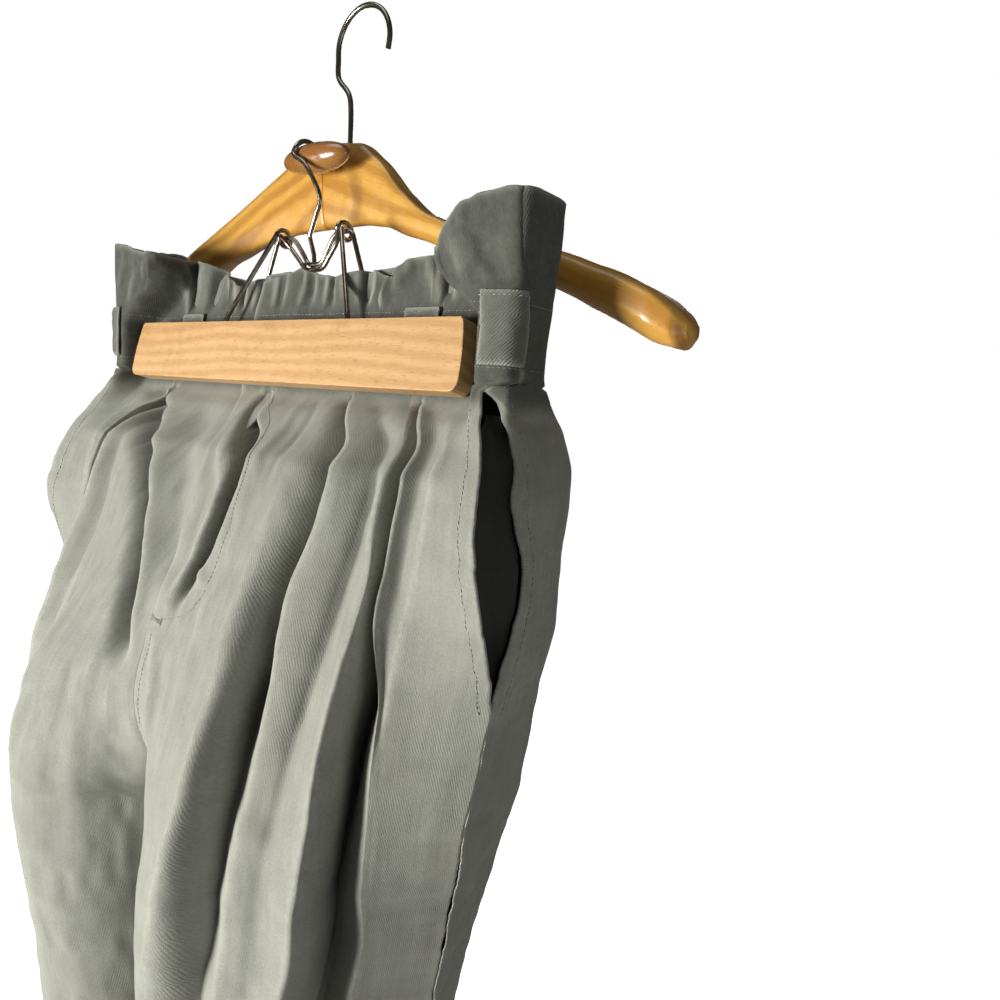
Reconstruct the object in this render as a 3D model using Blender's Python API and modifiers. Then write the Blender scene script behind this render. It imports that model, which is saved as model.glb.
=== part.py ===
# Paperbag waist trousers, gripped in a clamp hanger that hangs on a coat hanger.
# Metres, +Z up. The trousers face -Y, and the wearer's left is +X.
# The origin is under the top of the coat hanger's hook, where the whole thing hangs.

import math

import bpy
import bmesh
import numpy as np
from mathutils import Vector

# Driving dimensions of the cloth
CLOTH = 0.0015              # one layer of twill
POCKETING = 0.001           # one layer of the pocket bag
SEAM_GAP = 0.0003           # between pieces that are sewn together
LAP = CLOTH + SEAM_GAP      # how far the upper layer of the fly stands out
LOOP_STANDOFF = 0.0008      # between a belt loop and the cloth under it
LOOP_WIDTH = 0.024
LOOP_TOP = -0.004           # drop of a loop's two ends from the waist seam
LOOP_BOTTOM = 0.030
FRONT_LOOP_X = 0.111        # middle of a front loop
CROTCH = 0.291              # drop of the crotch point
FLY_END = 0.175             # drop of the fly's bar tack
HEM = 0.975                 # drop of the hem

# Driving dimensions of the clamp hanger, level and centred on the trousers
CLAMP_Y = -0.045            # middle of the bars, from the origin
WAIST = 0.025               # waist seam above the middle of the bars
TILT = math.radians(10.7)   # lean of the bars, top to the back
BAR_LENGTH = 0.305
BAR_HEIGHT = 0.038
BAR_THICK = 0.012
BAR_LOW = -0.0037           # middle of a bar along the lean
BAR_FACE = -0.00765         # back of the front bar, across the lean
GRIP = 0.0105               # space between the two bars
FRONT_LAYER = BAR_FACE + 0.0026
BACK_LAYER = BAR_FACE + GRIP - 0.0025
WIRE = 0.0015               # radius of the clamp's wires
FOOT_X = 0.0585             # where a bail stands on its bar
COIL_X = 0.0290
COIL_RADIUS = 0.0052
COIL_RUN = 0.0036           # length of one turn along X
COIL_ACROSS = BAR_FACE + GRIP / 2
COIL_ALONG = 0.0755
DIP_ACROSS = 0.0028         # where the bails sag between the coils
DIP_LOW = 0.0552
MIDDLE_PULL = 0.0040        # how far a dip starts in front of the middle
CATCH_X = -0.006
CATCH_RADIUS = 0.0035
OVER_X = -0.0215            # where the clamp's hook goes over the knob

# Driving dimensions of the coat hanger
HANGER_Y = 0.045            # its middle plane, behind the middle of the bars
HOOK_WIRE = 0.0017
HOOK_RADIUS = 0.0237
HOOK_CENTRE = (0.0, 0.2003)  # x and z of the hook's round, from the middle of the bars
CLAMP_Z = HOOK_WIRE - HOOK_CENTRE[1] - HOOK_RADIUS
KNOB = (-0.0135, 0.022, 0.1255)
KNOB_SIZE = (0.060, 0.0185, 0.0185)
PEG_RADIUS = 0.0035
PEG_X = -0.0095


class Table:
    # Rows of named columns. The first column is what the others are read by, and between
    # two rows a value follows a smooth curve that never overshoots them.
    def __init__(self, names, *rows):
        self.names = names.split()
        self.rows = np.array(rows)

    def read(self, name, key):
        x = self.rows[:, 0]
        y = self.rows[:, self.names.index(name)]
        key = min(max(key, x[0]), x[-1])
        step = np.diff(x)
        rise = np.diff(y) / step
        slope = np.r_[rise[0], np.zeros(len(x) - 2), rise[-1]]
        for i in range(1, len(x) - 1):
            if rise[i - 1] * rise[i] > 0:
                before = 2 * step[i] + step[i - 1]
                after = step[i] + 2 * step[i - 1]
                slope[i] = (before + after) / (before / rise[i - 1] + after / rise[i])
        i = min(np.searchsorted(x, key, side="right") - 1, len(x) - 2)
        t = (key - x[i]) / step[i]
        low = y[i] + step[i] * slope[i] * t
        high = y[i + 1] - step[i] * slope[i + 1] * (1 - t)
        blend = t * t * (3 - 2 * t)
        return float(low + (high - low) * blend)


# One leg and its half of the hips, by the drop from the waist seam. Outer and inner are the
# two sides in X, front and back the depths in Y, and seam is the Y of the side seam.
SECTIONS = Table(
    "drop outer inner front back square seam",
    (-0.055, 0.186, -0.186, -0.027, 0.017, 7.0, -0.021),
    (-0.025, 0.185, -0.185, -0.026, 0.016, 8.0, -0.019),
    (0.000, 0.184, -0.184, -0.026, 0.015, 8.0, -0.013),
    (0.028, 0.182, -0.182, -0.026, 0.015, 8.0, -0.010),
    (0.046, 0.183, -0.183, -0.029, 0.026, 7.0, -0.016),
    (0.062, 0.187, -0.187, -0.034, 0.048, 5.0, -0.021),
    (0.080, 0.193, -0.193, -0.046, 0.059, 3.8, -0.022),
    (0.100, 0.196, -0.194, -0.058, 0.065, 3.0, -0.022),
    (0.145, 0.196, -0.166, -0.0755, 0.067, 2.5, -0.024),
    (0.190, 0.190, -0.115, -0.0945, 0.066, 2.3, -0.025),
    (0.240, 0.181, -0.055, -0.109, 0.076, 2.2, -0.026),
    (0.275, 0.173, -0.012, -0.114, 0.078, 2.15, -0.021),
    (CROTCH, 0.168, 0.00015, -0.115, 0.078, 2.1, -0.018),
    (0.320, 0.162, 0.0030, -0.115, 0.074, 2.1, -0.015),
    (0.390, 0.147, 0.0045, -0.113, 0.067, 2.15, -0.010),
    (0.580, 0.120, 0.0070, -0.100, 0.062, 2.2, -0.006),
    (0.780, 0.106, 0.0100, -0.088, 0.060, 2.2, -0.004),
    (HEM, 0.098, 0.0130, -0.080, 0.058, 2.2, -0.002),
)

# How hard the bars hold the layers together, and out to which X
HOLD = Table(
    "drop grip reach",
    (-0.055, 0.70, 0.118),
    (-0.025, 0.96, 0.122),
    (0.000, 1.00, 0.146),
    (0.008, 1.00, 0.1545),
    (0.048, 1.00, 0.1545),
    (0.060, 0.62, 0.156),
    (0.084, 0.00, 0.160),
)
HOLD_FADE = 0.010

# X of each fold line of a front: a soft ridge, the bottom of a pleat, the pleat's edge and a
# sag, all twice, then the last ridge and the line where the side starts to round away
FOLD_X = Table(
    "drop ridge1 pleat1 edge1 sag ridge2 pleat2 edge2 dip ridge3 turn",
    (-0.055, 0.058, 0.0730, 0.0770, 0.095, 0.1110, 0.1195, 0.1230, 0.126, 0.129, 0.133),
    (0.000, 0.057, 0.0715, 0.0745, 0.093, 0.1110, 0.1190, 0.1215, 0.128, 0.137, 0.147),
    (0.046, 0.050, 0.0640, 0.0665, 0.088, 0.1100, 0.1172, 0.1197, 0.128, 0.142, 0.1545),
    (0.060, 0.057, 0.0740, 0.0770, 0.098, 0.1190, 0.1262, 0.1292, 0.138, 0.148, 0.159),
    (0.080, 0.070, 0.0930, 0.0970, 0.114, 0.1310, 0.1382, 0.1415, 0.149, 0.1565, 0.167),
    (0.110, 0.072, 0.0975, 0.1018, 0.119, 0.1350, 0.1420, 0.1450, 0.152, 0.1590, 0.171),
    (0.145, 0.065, 0.0915, 0.0965, 0.117, 0.1395, 0.1435, 0.1475, 0.153, 0.1593, 0.173),
    (0.190, 0.070, 0.0890, 0.1025, 0.119, 0.1376, 0.1510, 0.1545, 0.1568, 0.1590, 0.173),
    (0.240, 0.072, 0.0870, 0.1045, 0.121, 0.1382, 0.1510, 0.1545, 0.1575, 0.1605, 0.168),
    (CROTCH, 0.073, 0.0850, 0.1030, 0.118, 0.1345, 0.1480, 0.1515, 0.155, 0.158, 0.163),
    (0.340, 0.064, 0.0780, 0.0980, 0.111, 0.1260, 0.1400, 0.1440, 0.148, 0.151, 0.155),
    (0.390, 0.055, 0.0720, 0.0910, 0.103, 0.1160, 0.1290, 0.1330, 0.137, 0.140, 0.144),
    (0.580, 0.042, 0.0600, 0.0730, 0.083, 0.0940, 0.1020, 0.1065, 0.110, 0.113, 0.1165),
    (HEM, 0.034, 0.0500, 0.0590, 0.067, 0.0740, 0.0800, 0.0845, 0.087, 0.090, 0.093),
)

# How far each of those lines stands out from the section
FOLD_OUT = Table(
    "drop ridge1 pleat1 edge1 sag ridge2 pleat2 edge2 dip ridge3",
    (-0.055, 0.0006, -0.0022, 0.0035, 0.0010, 0.0040, -0.0028, 0.0045, 0.0020, 0.0010),
    (-0.020, 0.0003, -0.0011, 0.0022, 0.0005, 0.0025, -0.0013, 0.0028, 0.0014, 0.0006),
    (0.000, 0.0000, -0.0006, 0.0004, 0.0000, 0.0004, -0.0007, 0.0005, 0.0000, 0.0000),
    (0.046, 0.0000, -0.0003, 0.0003, 0.0000, 0.0000, -0.0003, 0.0003, 0.0000, 0.0000),
    (0.051, 0.0012, -0.0034, 0.0030, 0.0000, 0.0008, -0.0034, 0.0032, 0.0006, 0.0010),
    (0.060, 0.0030, -0.0055, 0.0042, -0.0006, 0.0018, -0.0052, 0.0042, 0.0002, 0.0020),
    (0.080, 0.0046, -0.0072, 0.0044, -0.0020, 0.0028, -0.0072, 0.0038, -0.0006, 0.0032),
    (0.110, 0.0072, -0.0088, 0.0042, -0.0034, 0.0046, -0.0100, 0.0034, -0.0018, 0.0040),
    (0.145, 0.0100, -0.0104, 0.0034, -0.0040, 0.0068, -0.0130, 0.0020, -0.0020, 0.0042),
    (0.190, 0.0140, -0.0100, 0.0010, -0.0036, 0.0092, -0.0160, 0.0020, 0.0026, 0.0038),
    (0.240, 0.0165, -0.0090, 0.0000, -0.0022, 0.0100, -0.0170, 0.0040, 0.0030, 0.0020),
    (CROTCH, 0.0170, -0.0070, 0.0000, -0.0008, 0.0100, -0.0160, 0.0036, 0.0020, 0.0010),
    (0.390, 0.0125, -0.0045, 0.0000, 0.0004, 0.0088, -0.0120, 0.0032, 0.0018, 0.0010),
    (0.580, 0.0056, -0.0028, 0.0000, 0.0006, 0.0056, -0.0066, 0.0022, 0.0010, 0.0006),
    (HEM, 0.0014, -0.0007, 0.0000, 0.0002, 0.0022, -0.0022, 0.0010, 0.0000, 0.0000),
)

# Height of the frill over the waist seam, by the distance from the middle
FRILL = Table(
    "x left right back",
    (0.000, 0.027, 0.026, 0.020),
    (0.040, 0.021, 0.024, 0.021),
    (0.060, 0.024, 0.019, 0.023),
    (0.077, 0.019, 0.026, 0.026),
    (0.095, 0.027, 0.034, 0.029),
    (0.114, 0.028, 0.038, 0.032),
    (0.124, 0.027, 0.039, 0.034),
    (0.143, 0.036, 0.041, 0.040),
    (0.156, 0.045, 0.044, 0.045),
    (0.172, 0.049, 0.048, 0.049),
    (0.190, 0.050, 0.050, 0.050),
)
FRILL_DROP = -0.030         # the row whose X the heights are read by

# Waves of the frill and of the gathered back, by the drop, near the wires and beyond them
WAVES = Table(
    "drop middle outside back",
    (-0.055, 0.0004, 0.0020, 0.0022),
    (-0.020, 0.0003, 0.0010, 0.0007),
    (0.000, 0.0000, 0.0003, 0.0002),
    (0.048, 0.0000, 0.0000, 0.0000),
    (0.062, 0.0000, 0.0000, 0.0020),
    (0.090, 0.0000, 0.0000, 0.0040),
    (0.150, 0.0000, 0.0000, 0.0030),
    (0.230, 0.0000, 0.0000, 0.0012),
    (0.330, 0.0000, 0.0000, 0.0000),
)
WIRE_REACH = 0.070          # X of the last wire in front of the frill

# How far the upper layer of the fly reaches past the middle, by the drop
FLY = Table(
    "drop reach",
    (-0.055, 0.027),
    (-0.012, 0.036),
    (0.000, 0.038),
    (0.046, 0.037),
    (0.060, 0.029),
    (0.076, 0.019),
    (0.100, 0.006),
    (0.126, 0.001),
    (FLY_END, 0.000),
)

# The two edges of the side pocket, by the distance from the side seam
POCKET = Table(
    "drop front back",
    (0.0375, 0.0000, 0.0000),
    (0.0415, -0.0194, -0.0168),
    (0.0463, -0.0172, -0.0107),
    (0.0550, -0.0138, -0.0024),
    (0.0640, -0.0136, 0.0015),
    (0.0730, -0.0148, 0.0020),
    (0.0910, -0.0190, -0.0020),
    (0.1020, -0.0197, 0.0000),
    (0.1150, -0.0181, 0.0045),
    (0.1280, -0.0155, 0.0074),
    (0.1390, -0.0129, 0.0067),
    (0.1530, -0.0100, 0.0033),
    (0.1700, -0.0052, 0.0007),
    (0.1890, 0.0000, 0.0000),
)

# How far the side edges of the front and the back stand forward off the leg
STAND_OFF = Table(
    "drop front back",
    (0.0415, 0.0000, 0.0000),
    (0.0463, 0.0030, 0.0000),
    (0.0550, 0.0090, 0.0010),
    (0.0640, 0.0150, 0.0020),
    (0.0730, 0.0200, 0.0030),
    (0.0910, 0.0260, 0.0050),
    (0.1150, 0.0300, 0.0090),
    (0.1280, 0.0300, 0.0120),
    (0.1530, 0.0255, 0.0165),
    (0.1700, 0.0225, 0.0190),
    (0.1890, 0.0210, 0.0210),
    (0.2400, 0.0190, 0.0190),
    (CROTCH, 0.0170, 0.0170),
    (0.3900, 0.0130, 0.0130),
    (0.5800, 0.0080, 0.0080),
    (HEM, 0.0030, 0.0030),
)
STAND_WAY = np.array((0.60, -0.80, 0.0))
STAND_SHAPE = 1.6           # how fast the back falls back to the leg behind the seam
STRETCH = 0.7               # how straight the front is stretched from its last fold

# Where the rows of each panel lie: parts of the frill's height, then drops
FRILL_ROWS = (1.0, 0.72, 0.45, 0.2)
ROWS = (
    0.000, 0.008, 0.027, 0.0365, 0.0425, 0.047, 0.051, 0.058, 0.068, 0.082, 0.100, 0.122, 0.145,
    0.168, 0.190,
    0.215, 0.240, 0.262, 0.278, 0.287, CROTCH, 0.300, 0.325, 0.360, 0.400, 0.450, 0.510,
    0.580, 0.660, 0.750, 0.850, 0.940, HEM,
)
BACK_GATHERS = 8            # fold lines between the centre back and the turn of the side
TURN_COLUMN = 4             # the back's column at the turn of the side
COLUMNS_AFTER_FOLDS = 6     # the front's columns from its last ridge to its side edge
POCKET_ROWS = (0.073, 0.083, 0.097, 0.120, 0.145, 0.170, 0.190, 0.205)
BAG_DEPTH = 0.018           # how far the bag reaches under the front's edge
BAG_NEAR = 0.0028           # its layer behind the front, from the outside of the cloth
BAG_FAR = (0.0080, 0.0044)  # its layer behind the opening, at the fold and at the seam
RIGHT_FOLDS = 0.85          # the right front's folds against the left's

# Coat hanger arms: x, z of the top edge, height, depth and y of the middle of each section
ARMS = Table(
    "x top height depth middle",
    (-0.2920, 0.0130, 0.0080, 0.0160, 0.0540),
    (-0.2860, 0.0200, 0.0190, 0.0320, 0.0540),
    (-0.2700, 0.0310, 0.0250, 0.0390, 0.0540),
    (-0.2350, 0.0520, 0.0260, 0.0390, 0.0530),
    (-0.1890, 0.0760, 0.0260, 0.0320, 0.0500),
    (-0.1500, 0.0940, 0.0280, 0.0230, 0.0470),
    (-0.1180, 0.1080, 0.0330, 0.0180, 0.0455),
    (-0.0720, 0.1290, 0.0440, 0.0160, 0.0450),
    (-0.0500, 0.1380, 0.0510, 0.0160, 0.0450),
    (-0.0250, 0.1415, 0.0540, 0.0160, 0.0450),
    (0.0000, 0.1395, 0.0520, 0.0160, 0.0450),
    (0.0210, 0.1290, 0.0430, 0.0160, 0.0450),
    (0.0480, 0.1040, 0.0260, 0.0160, 0.0450),
    (0.0790, 0.0850, 0.0170, 0.0180, 0.0460),
    (0.1180, 0.0730, 0.0180, 0.0240, 0.0490),
    (0.1580, 0.0630, 0.0210, 0.0320, 0.0520),
    (0.1850, 0.0540, 0.0240, 0.0380, 0.0550),
    (0.2120, 0.0430, 0.0260, 0.0390, 0.0560),
    (0.2290, 0.0320, 0.0210, 0.0340, 0.0560),
    (0.2370, 0.0240, 0.0090, 0.0160, 0.0560),
)
ARM_JOINT = -0.025
ARM_SQUARE = 3.2
ARM_SIDES = 16


def smoothstep(t):
    t = np.clip(t, 0.0, 1.0)
    return t * t * (3 - 2 * t)


def lean_y(across, z):
    # Y of a plane that leans with the bars, at a height over their middle
    return (across + z * math.sin(TILT)) / math.cos(TILT)


class Section:
    # The outline of one leg at one drop, from its front edge round the side to its back edge
    POINTS = 721

    def __init__(self, drop):
        self.drop = drop
        self.z = WAIST - drop
        read = {name: SECTIONS.read(name, drop) for name in SECTIONS.names[1:]}
        angle = np.linspace(-math.pi, math.pi, self.POINTS)
        cos = np.cos(angle)
        sin = np.sin(angle)
        power = 2 / read["square"]
        middle = (read["outer"] + read["inner"]) / 2
        half = (read["outer"] - read["inner"]) / 2
        depth = np.where(sin < 0, -read["front"], read["back"])
        x = middle + half * np.sign(cos) * np.abs(cos) ** power
        y = depth * np.sign(sin) * np.abs(sin) ** power
        back = angle > 0
        edge = SEAM_GAP / 2
        if x.min() < edge - 1e-6:
            keep = np.nonzero(x > edge)[0]
            first, last = keep[0], keep[-1]
            y_first = np.interp(edge, x[first - 1:first + 1], y[first - 1:first + 1])
            y_last = np.interp(edge, x[last:last + 2][::-1], y[last:last + 2][::-1])
            x = np.r_[edge, x[first:last + 1], edge]
            y = np.r_[y_first, y[first:last + 1], y_last]
            back = np.r_[False, back[first:last + 1], True]
            self.cut = True
        else:
            self.cut = False
        self.x = x
        self.y = self.gripped(x, y, back)
        self.s = np.r_[0.0, np.cumsum(np.hypot(np.diff(self.x), np.diff(self.y)))]
        self.length = self.s[-1]
        side = self.x > 0.9 * self.x.max()
        self.seam = self.s[np.argmin(np.where(side, np.abs(self.y - read["seam"]), 1.0))]
        self.turn = int(np.argmax(self.x))

    def gripped(self, x, y, back):
        layer = np.where(back, lean_y(BACK_LAYER, self.z), lean_y(FRONT_LAYER, self.z))
        reach = HOLD.read("reach", self.drop)
        held = HOLD.read("grip", self.drop) * smoothstep((reach + HOLD_FADE - x) / HOLD_FADE)
        return y + (layer - y) * held

    def front_at(self, x):
        return float(np.interp(x, self.x[:self.turn + 1], self.s[:self.turn + 1]))

    def back_at(self, x):
        return float(np.interp(x, self.x[self.turn:][::-1], self.s[self.turn:][::-1]))

    def point(self, s, out=0.0):
        x = np.interp(s, self.s, self.x)
        y = np.interp(s, self.s, self.y)
        normal = self.normal(s)
        return np.array((x + normal[0] * out, y + normal[1] * out, self.z))

    def normal(self, s):
        near = (max(s - 0.003, 0.0), min(s + 0.003, self.length))
        dx = np.interp(near[1], self.s, self.x) - np.interp(near[0], self.s, self.x)
        dy = np.interp(near[1], self.s, self.y) - np.interp(near[0], self.s, self.y)
        length = math.hypot(dx, dy)
        return np.array((dy / length, -dx / length, 0.0))


def between(start, end, count):
    # Places between two lines, without the lines themselves
    return [start + (end - start) * (k + 1) / (count + 1) for k in range(count)]


def front_columns(drop, side):
    # The lines of one front at one drop: the place along the section, how far the fold
    # stands out, and how far the cloth is lifted off the layer under it
    section = Section(drop)
    scale = 1.0 if side == "left" else RIGHT_FOLDS
    lines = FOLD_X.names[1:]
    at = {name: section.front_at(FOLD_X.read(name, drop)) for name in lines}
    out = {name: FOLD_OUT.read(name, drop) * scale for name in lines[:-1]}
    lap = 0.0
    start = 0.0 if section.cut else SEAM_GAP / 2
    if side == "left" and drop < FLY_END:
        start = -FLY.read("reach", drop)
    if side == "left":
        lap = LAP * float(smoothstep((FLY_END + 0.020 - drop) / 0.020))
    end = section.seam - SEAM_GAP / 2
    if POCKET.rows[0, 0] < drop < POCKET.rows[-1, 0]:
        end += POCKET.read("front", drop)
    ripple = WAVES.read("middle", drop) * (1 if side == "left" else -1)
    columns = [(start, 0.0, lap)]
    for k, s in enumerate(between(start, at["ridge1"], 3)):
        columns.append((s, ripple * (k % 2), lap * (k < 2)))
    out["sag"] -= WAVES.read("outside", drop)
    columns += [(at[name], out[name], 0.0) for name in lines[:-1]]
    turn = min(at["turn"], 0.55 * at["ridge3"] + 0.45 * end)
    columns.append((turn, 0.0, 0.0))
    columns += [(s, 0.0, 0.0) for s in between(turn, end, 3)]
    columns.append((end, 0.0, 0.0))
    return section, columns


def back_columns(drop, side):
    # The fold lines of one back at one drop, from the side seam to the centre back or inseam
    section = Section(drop)
    start = section.seam + SEAM_GAP / 2
    if POCKET.rows[0, 0] < drop < POCKET.rows[-1, 0]:
        start += POCKET.read("back", drop)
    turn = section.back_at(FOLD_X.read("turn", drop))
    end = section.length if section.cut else section.length - SEAM_GAP / 2
    columns = [(start, 0.0, 0.0)]
    columns += [(s, 0.0, 0.0) for s in between(start, turn, 3)]
    columns.append((turn, 0.0, 0.0))
    shift = 0 if side == "left" else 1
    for k, s in enumerate(between(turn, end, BACK_GATHERS)):
        near = section.point(s)[0] < WIRE_REACH and drop < 0
        height = WAVES.read("middle" if near else "back", drop)
        columns.append((s, height if (k + shift) % 2 else -height, 0.0))
    columns.append((end, 0.0, 0.0))
    return section, columns


def column_point(section, s, out):
    # A place before the start of the section lies on the other side of the middle
    if s < 0:
        mirrored = section.point(section.front_at(-s), out)
        return np.array((s, mirrored[1], mirrored[2]))
    return section.point(s, out)


def stand_forward(row, columns, drop, is_front):
    # The side edge stands off the leg, and the front is stretched to it from its last fold
    edge = "front" if is_front or drop > POCKET.rows[-1, 0] else "back"
    stand = STAND_OFF.read(edge, drop) * STAND_WAY
    amount = float(smoothstep(np.linalg.norm(stand) / 0.02))
    places = np.array([s for s, _, _ in columns])
    if is_front:
        line = len(columns) - COLUMNS_AFTER_FOLDS
        part = (places[line:] - places[line]) / (places[-1] - places[line])
        moved = row[line:] + part[:, np.newaxis] * stand
        straight = moved[0] + (moved[-1] - moved[0]) * part[:, np.newaxis]
        row[line:] = moved + (straight - moved) * STRETCH * amount
    else:
        part = (places[:TURN_COLUMN] - places[0]) / (places[TURN_COLUMN] - places[0])
        row[:TURN_COLUMN] += (1 - part[:, np.newaxis]) ** STAND_SHAPE * stand


def row_points(columns_at, drop, side):
    # The outer face of a panel at one drop under the waist seam, and its lifts
    section, columns = columns_at(drop, side)
    row = np.array([column_point(section, s, out) for s, out, _ in columns])
    if drop > STAND_OFF.rows[0, 0]:
        stand_forward(row, columns, drop, columns_at is front_columns)
    return row, [lift for _, _, lift in columns]


def panel_points(columns_at, side, frill):
    # A panel's outer face, row by row from the frill's top edge to the hem, and its lifts
    base, columns = columns_at(FRILL_DROP, side)
    heights = [FRILL.read(frill, abs(column_point(base, s, 0.0)[0])) for s, _, _ in columns]
    rows = []
    lifts = []
    for part in FRILL_ROWS:
        made = [columns_at(-part * height, side) for height in heights]
        picked = [(section, columns[k]) for k, (section, columns) in enumerate(made)]
        rows.append([column_point(section, s, out) for section, (s, out, _) in picked])
        lifts.append([lift for _, (_, _, lift) in picked])
    for drop in ROWS:
        row, row_lifts = row_points(columns_at, drop, side)
        rows.append(row)
        lifts.append(row_lifts)
    return np.array(rows), np.array(lifts)


def grid_normals(points):
    across = np.gradient(points, axis=1)
    down = np.gradient(points, axis=0)
    normals = np.cross(across, down)
    normals /= np.linalg.norm(normals, axis=2, keepdims=True)
    middle = normals[len(points) // 2, points.shape[1] // 2]
    outwards = points[len(points) // 2, points.shape[1] // 2] - points[len(points) // 2].mean(axis=0)
    return normals if np.dot(middle, outwards) > 0 else -normals


def drops_of(points):
    return WAIST - points[:, :, 2]


def square_edges(points, normals, centre_column, seam_column):
    # Turns the edges' normals so that neighbours meet face to face over an even gap
    drops = drops_of(points)
    for row in range(len(points)):
        drop = drops[row, centre_column]
        normal = normals[row, centre_column]
        if abs(drop - CROTCH) < 1e-6:
            normal = np.array((-1.0, 0.0, -1.0))
        elif drop < CROTCH:
            normal = np.array((0.0, normal[1], normal[2]))
        else:
            normal = np.array((-1.0, 0.0, 0.0))
        normals[row, centre_column] = normal / np.linalg.norm(normal)
        section = Section(drops[row, seam_column])
        if not POCKET.rows[0, 0] < section.drop < POCKET.rows[-1, 0]:
            normals[row, seam_column] = section.normal(section.seam)
    return normals


def solid(name, vertices, faces, material, collection):
    mesh = bpy.data.meshes.new(name)
    bm = bmesh.new()
    made = [bm.verts.new(v) for v in vertices]
    for face in faces:
        bm.faces.new([made[i] for i in face])
    bmesh.ops.recalc_face_normals(bm, faces=bm.faces)
    if bm.calc_volume(signed=True) < 0:
        bmesh.ops.reverse_faces(bm, faces=bm.faces)
    bmesh.ops.triangulate(bm, faces=bm.faces)
    bm.to_mesh(mesh)
    bm.free()
    mesh.materials.append(material)
    thing = bpy.data.objects.new(name, mesh)
    collection.objects.link(thing)
    return thing


def wall(name, outside, normals, thickness, side, material, collection):
    # A closed sheet: its outer face, the same face moved in, and a rim all the way round
    inside = outside - normals * thickness
    rows, columns = outside.shape[:2]
    mirror = np.array((1.0 if side == "left" else -1.0, 1.0, 1.0))
    place = np.array((0.0, CLAMP_Y, CLAMP_Z))
    vertices = np.concatenate((outside.reshape(-1, 3), inside.reshape(-1, 3))) * mirror + place
    other = rows * columns
    faces = []
    for r in range(rows - 1):
        for c in range(columns - 1):
            a = r * columns + c
            b = a + columns
            faces.append((a, a + 1, b + 1, b))
            faces.append((a + other, b + other, b + 1 + other, a + 1 + other))
    rim = list(range(columns))
    rim += [r * columns + columns - 1 for r in range(1, rows)]
    rim += [(rows - 1) * columns + c for c in range(columns - 2, -1, -1)]
    rim += [r * columns for r in range(rows - 2, 0, -1)]
    for a, b in zip(rim, rim[1:] + rim[:1]):
        faces.append((b, a, a + other, b + other))
    return solid(name, vertices.tolist(), faces, material, collection)


def build_panels(material, collection):
    for side in ("left", "right"):
        front, lifts = panel_points(front_columns, side, side)
        normals = square_edges(front, grid_normals(front), 0, -1)
        front += normals * lifts[:, :, np.newaxis]
        wall("front_" + side, front, normals, CLOTH, side, material, collection)
        back, lifts = panel_points(back_columns, side, "back")
        normals = square_edges(back, grid_normals(back), -1, 0)
        wall("back_" + side, back, normals, CLOTH, side, material, collection)


def strip(name, places, drops, side, material, collection):
    # A belt loop: a short strip over the points of the cloth under it
    lift = LOOP_STANDOFF + CLOTH
    points = []
    for drop in drops:
        section = Section(drop)
        points.append([section.point(s, lift) for s in places(section)])
    points = np.array(points)
    wall(name, points, grid_normals(points), CLOTH, side, material, collection)


def build_loops(material, collection):
    drops = np.linspace(LOOP_TOP, LOOP_BOTTOM, 5)
    half = LOOP_WIDTH / 2

    def beside_seam(section):
        return np.linspace(section.seam - LOOP_WIDTH, section.seam - 0.001, 6)

    def on_front(section):
        return [section.front_at(x) for x in np.linspace(FRONT_LOOP_X - half, FRONT_LOOP_X + half, 4)]

    for side in ("left", "right"):
        strip("side_loop_" + side, beside_seam, drops, side, material, collection)
        strip("front_loop_" + side, on_front, drops, side, material, collection)

    lift = LOOP_STANDOFF + CLOTH
    points = []
    for drop in drops:
        y = Section(drop).point(Section(drop).length - half)[1] + lift
        points.append([(x, y, WAIST - drop) for x in np.linspace(half, -half, 4)])
    points = np.array(points)
    wall("back_loop", points, grid_normals(points), CLOTH, "left", material, collection)


def inside(path, distance, depth):
    # A place on the inner side of a row of points, at a distance from the row's last point
    walked = np.r_[0.0, np.cumsum(np.linalg.norm(np.diff(path[::-1], axis=0), axis=1))]
    there = [np.interp(distance, walked, path[::-1, k]) for k in range(3)]
    near = [np.interp(distance + 0.002, walked, path[::-1, k]) for k in range(3)]
    along = np.array(near) - np.array(there)
    inwards = np.array((-along[1], along[0], 0.0)) / np.linalg.norm(along)
    return np.array(there) - inwards * depth


def build_pocket_bags(material, collection):
    # One folded sheet a side: under the front's edge, round a fold inside, and back to the seam
    for side in ("left", "right"):
        points = []
        for drop in POCKET_ROWS:
            front = row_points(front_columns, drop, side)[0]
            section, columns = back_columns(drop, side)
            back = row_points(back_columns, drop, side)[0][0]
            near = [inside(front, 0.001 + k * BAG_DEPTH / 4, BAG_NEAR) for k in range(4)]
            fold = [inside(front, BAG_DEPTH, BAG_NEAR + 0.0016)]
            fold.append(inside(front, BAG_DEPTH, BAG_FAR[0] - 0.0014))
            start = inside(front, BAG_DEPTH - 0.004, BAG_FAR[0])
            end = back - section.normal(columns[0][0]) * BAG_FAR[1]
            far = [start + (end - start) * k / 4 for k in range(5)]
            points.append(near + fold + far)
        points = np.array(points)
        normals = grid_normals(points)
        outwards = Section(POCKET_ROWS[3]).normal(Section(POCKET_ROWS[3]).seam)
        if np.dot(normals[3, 1], outwards) < 0:
            normals = -normals
        wall("pocket_bag_" + side, points, normals, POCKETING, side, material, collection)


def clamp_point(x, across, along):
    # A point by its place across and along the lean of the bars
    y = across * math.cos(TILT) + along * math.sin(TILT)
    z = along * math.cos(TILT) - across * math.sin(TILT)
    return Vector((x, y + CLAMP_Y, z + CLAMP_Z))


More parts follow.
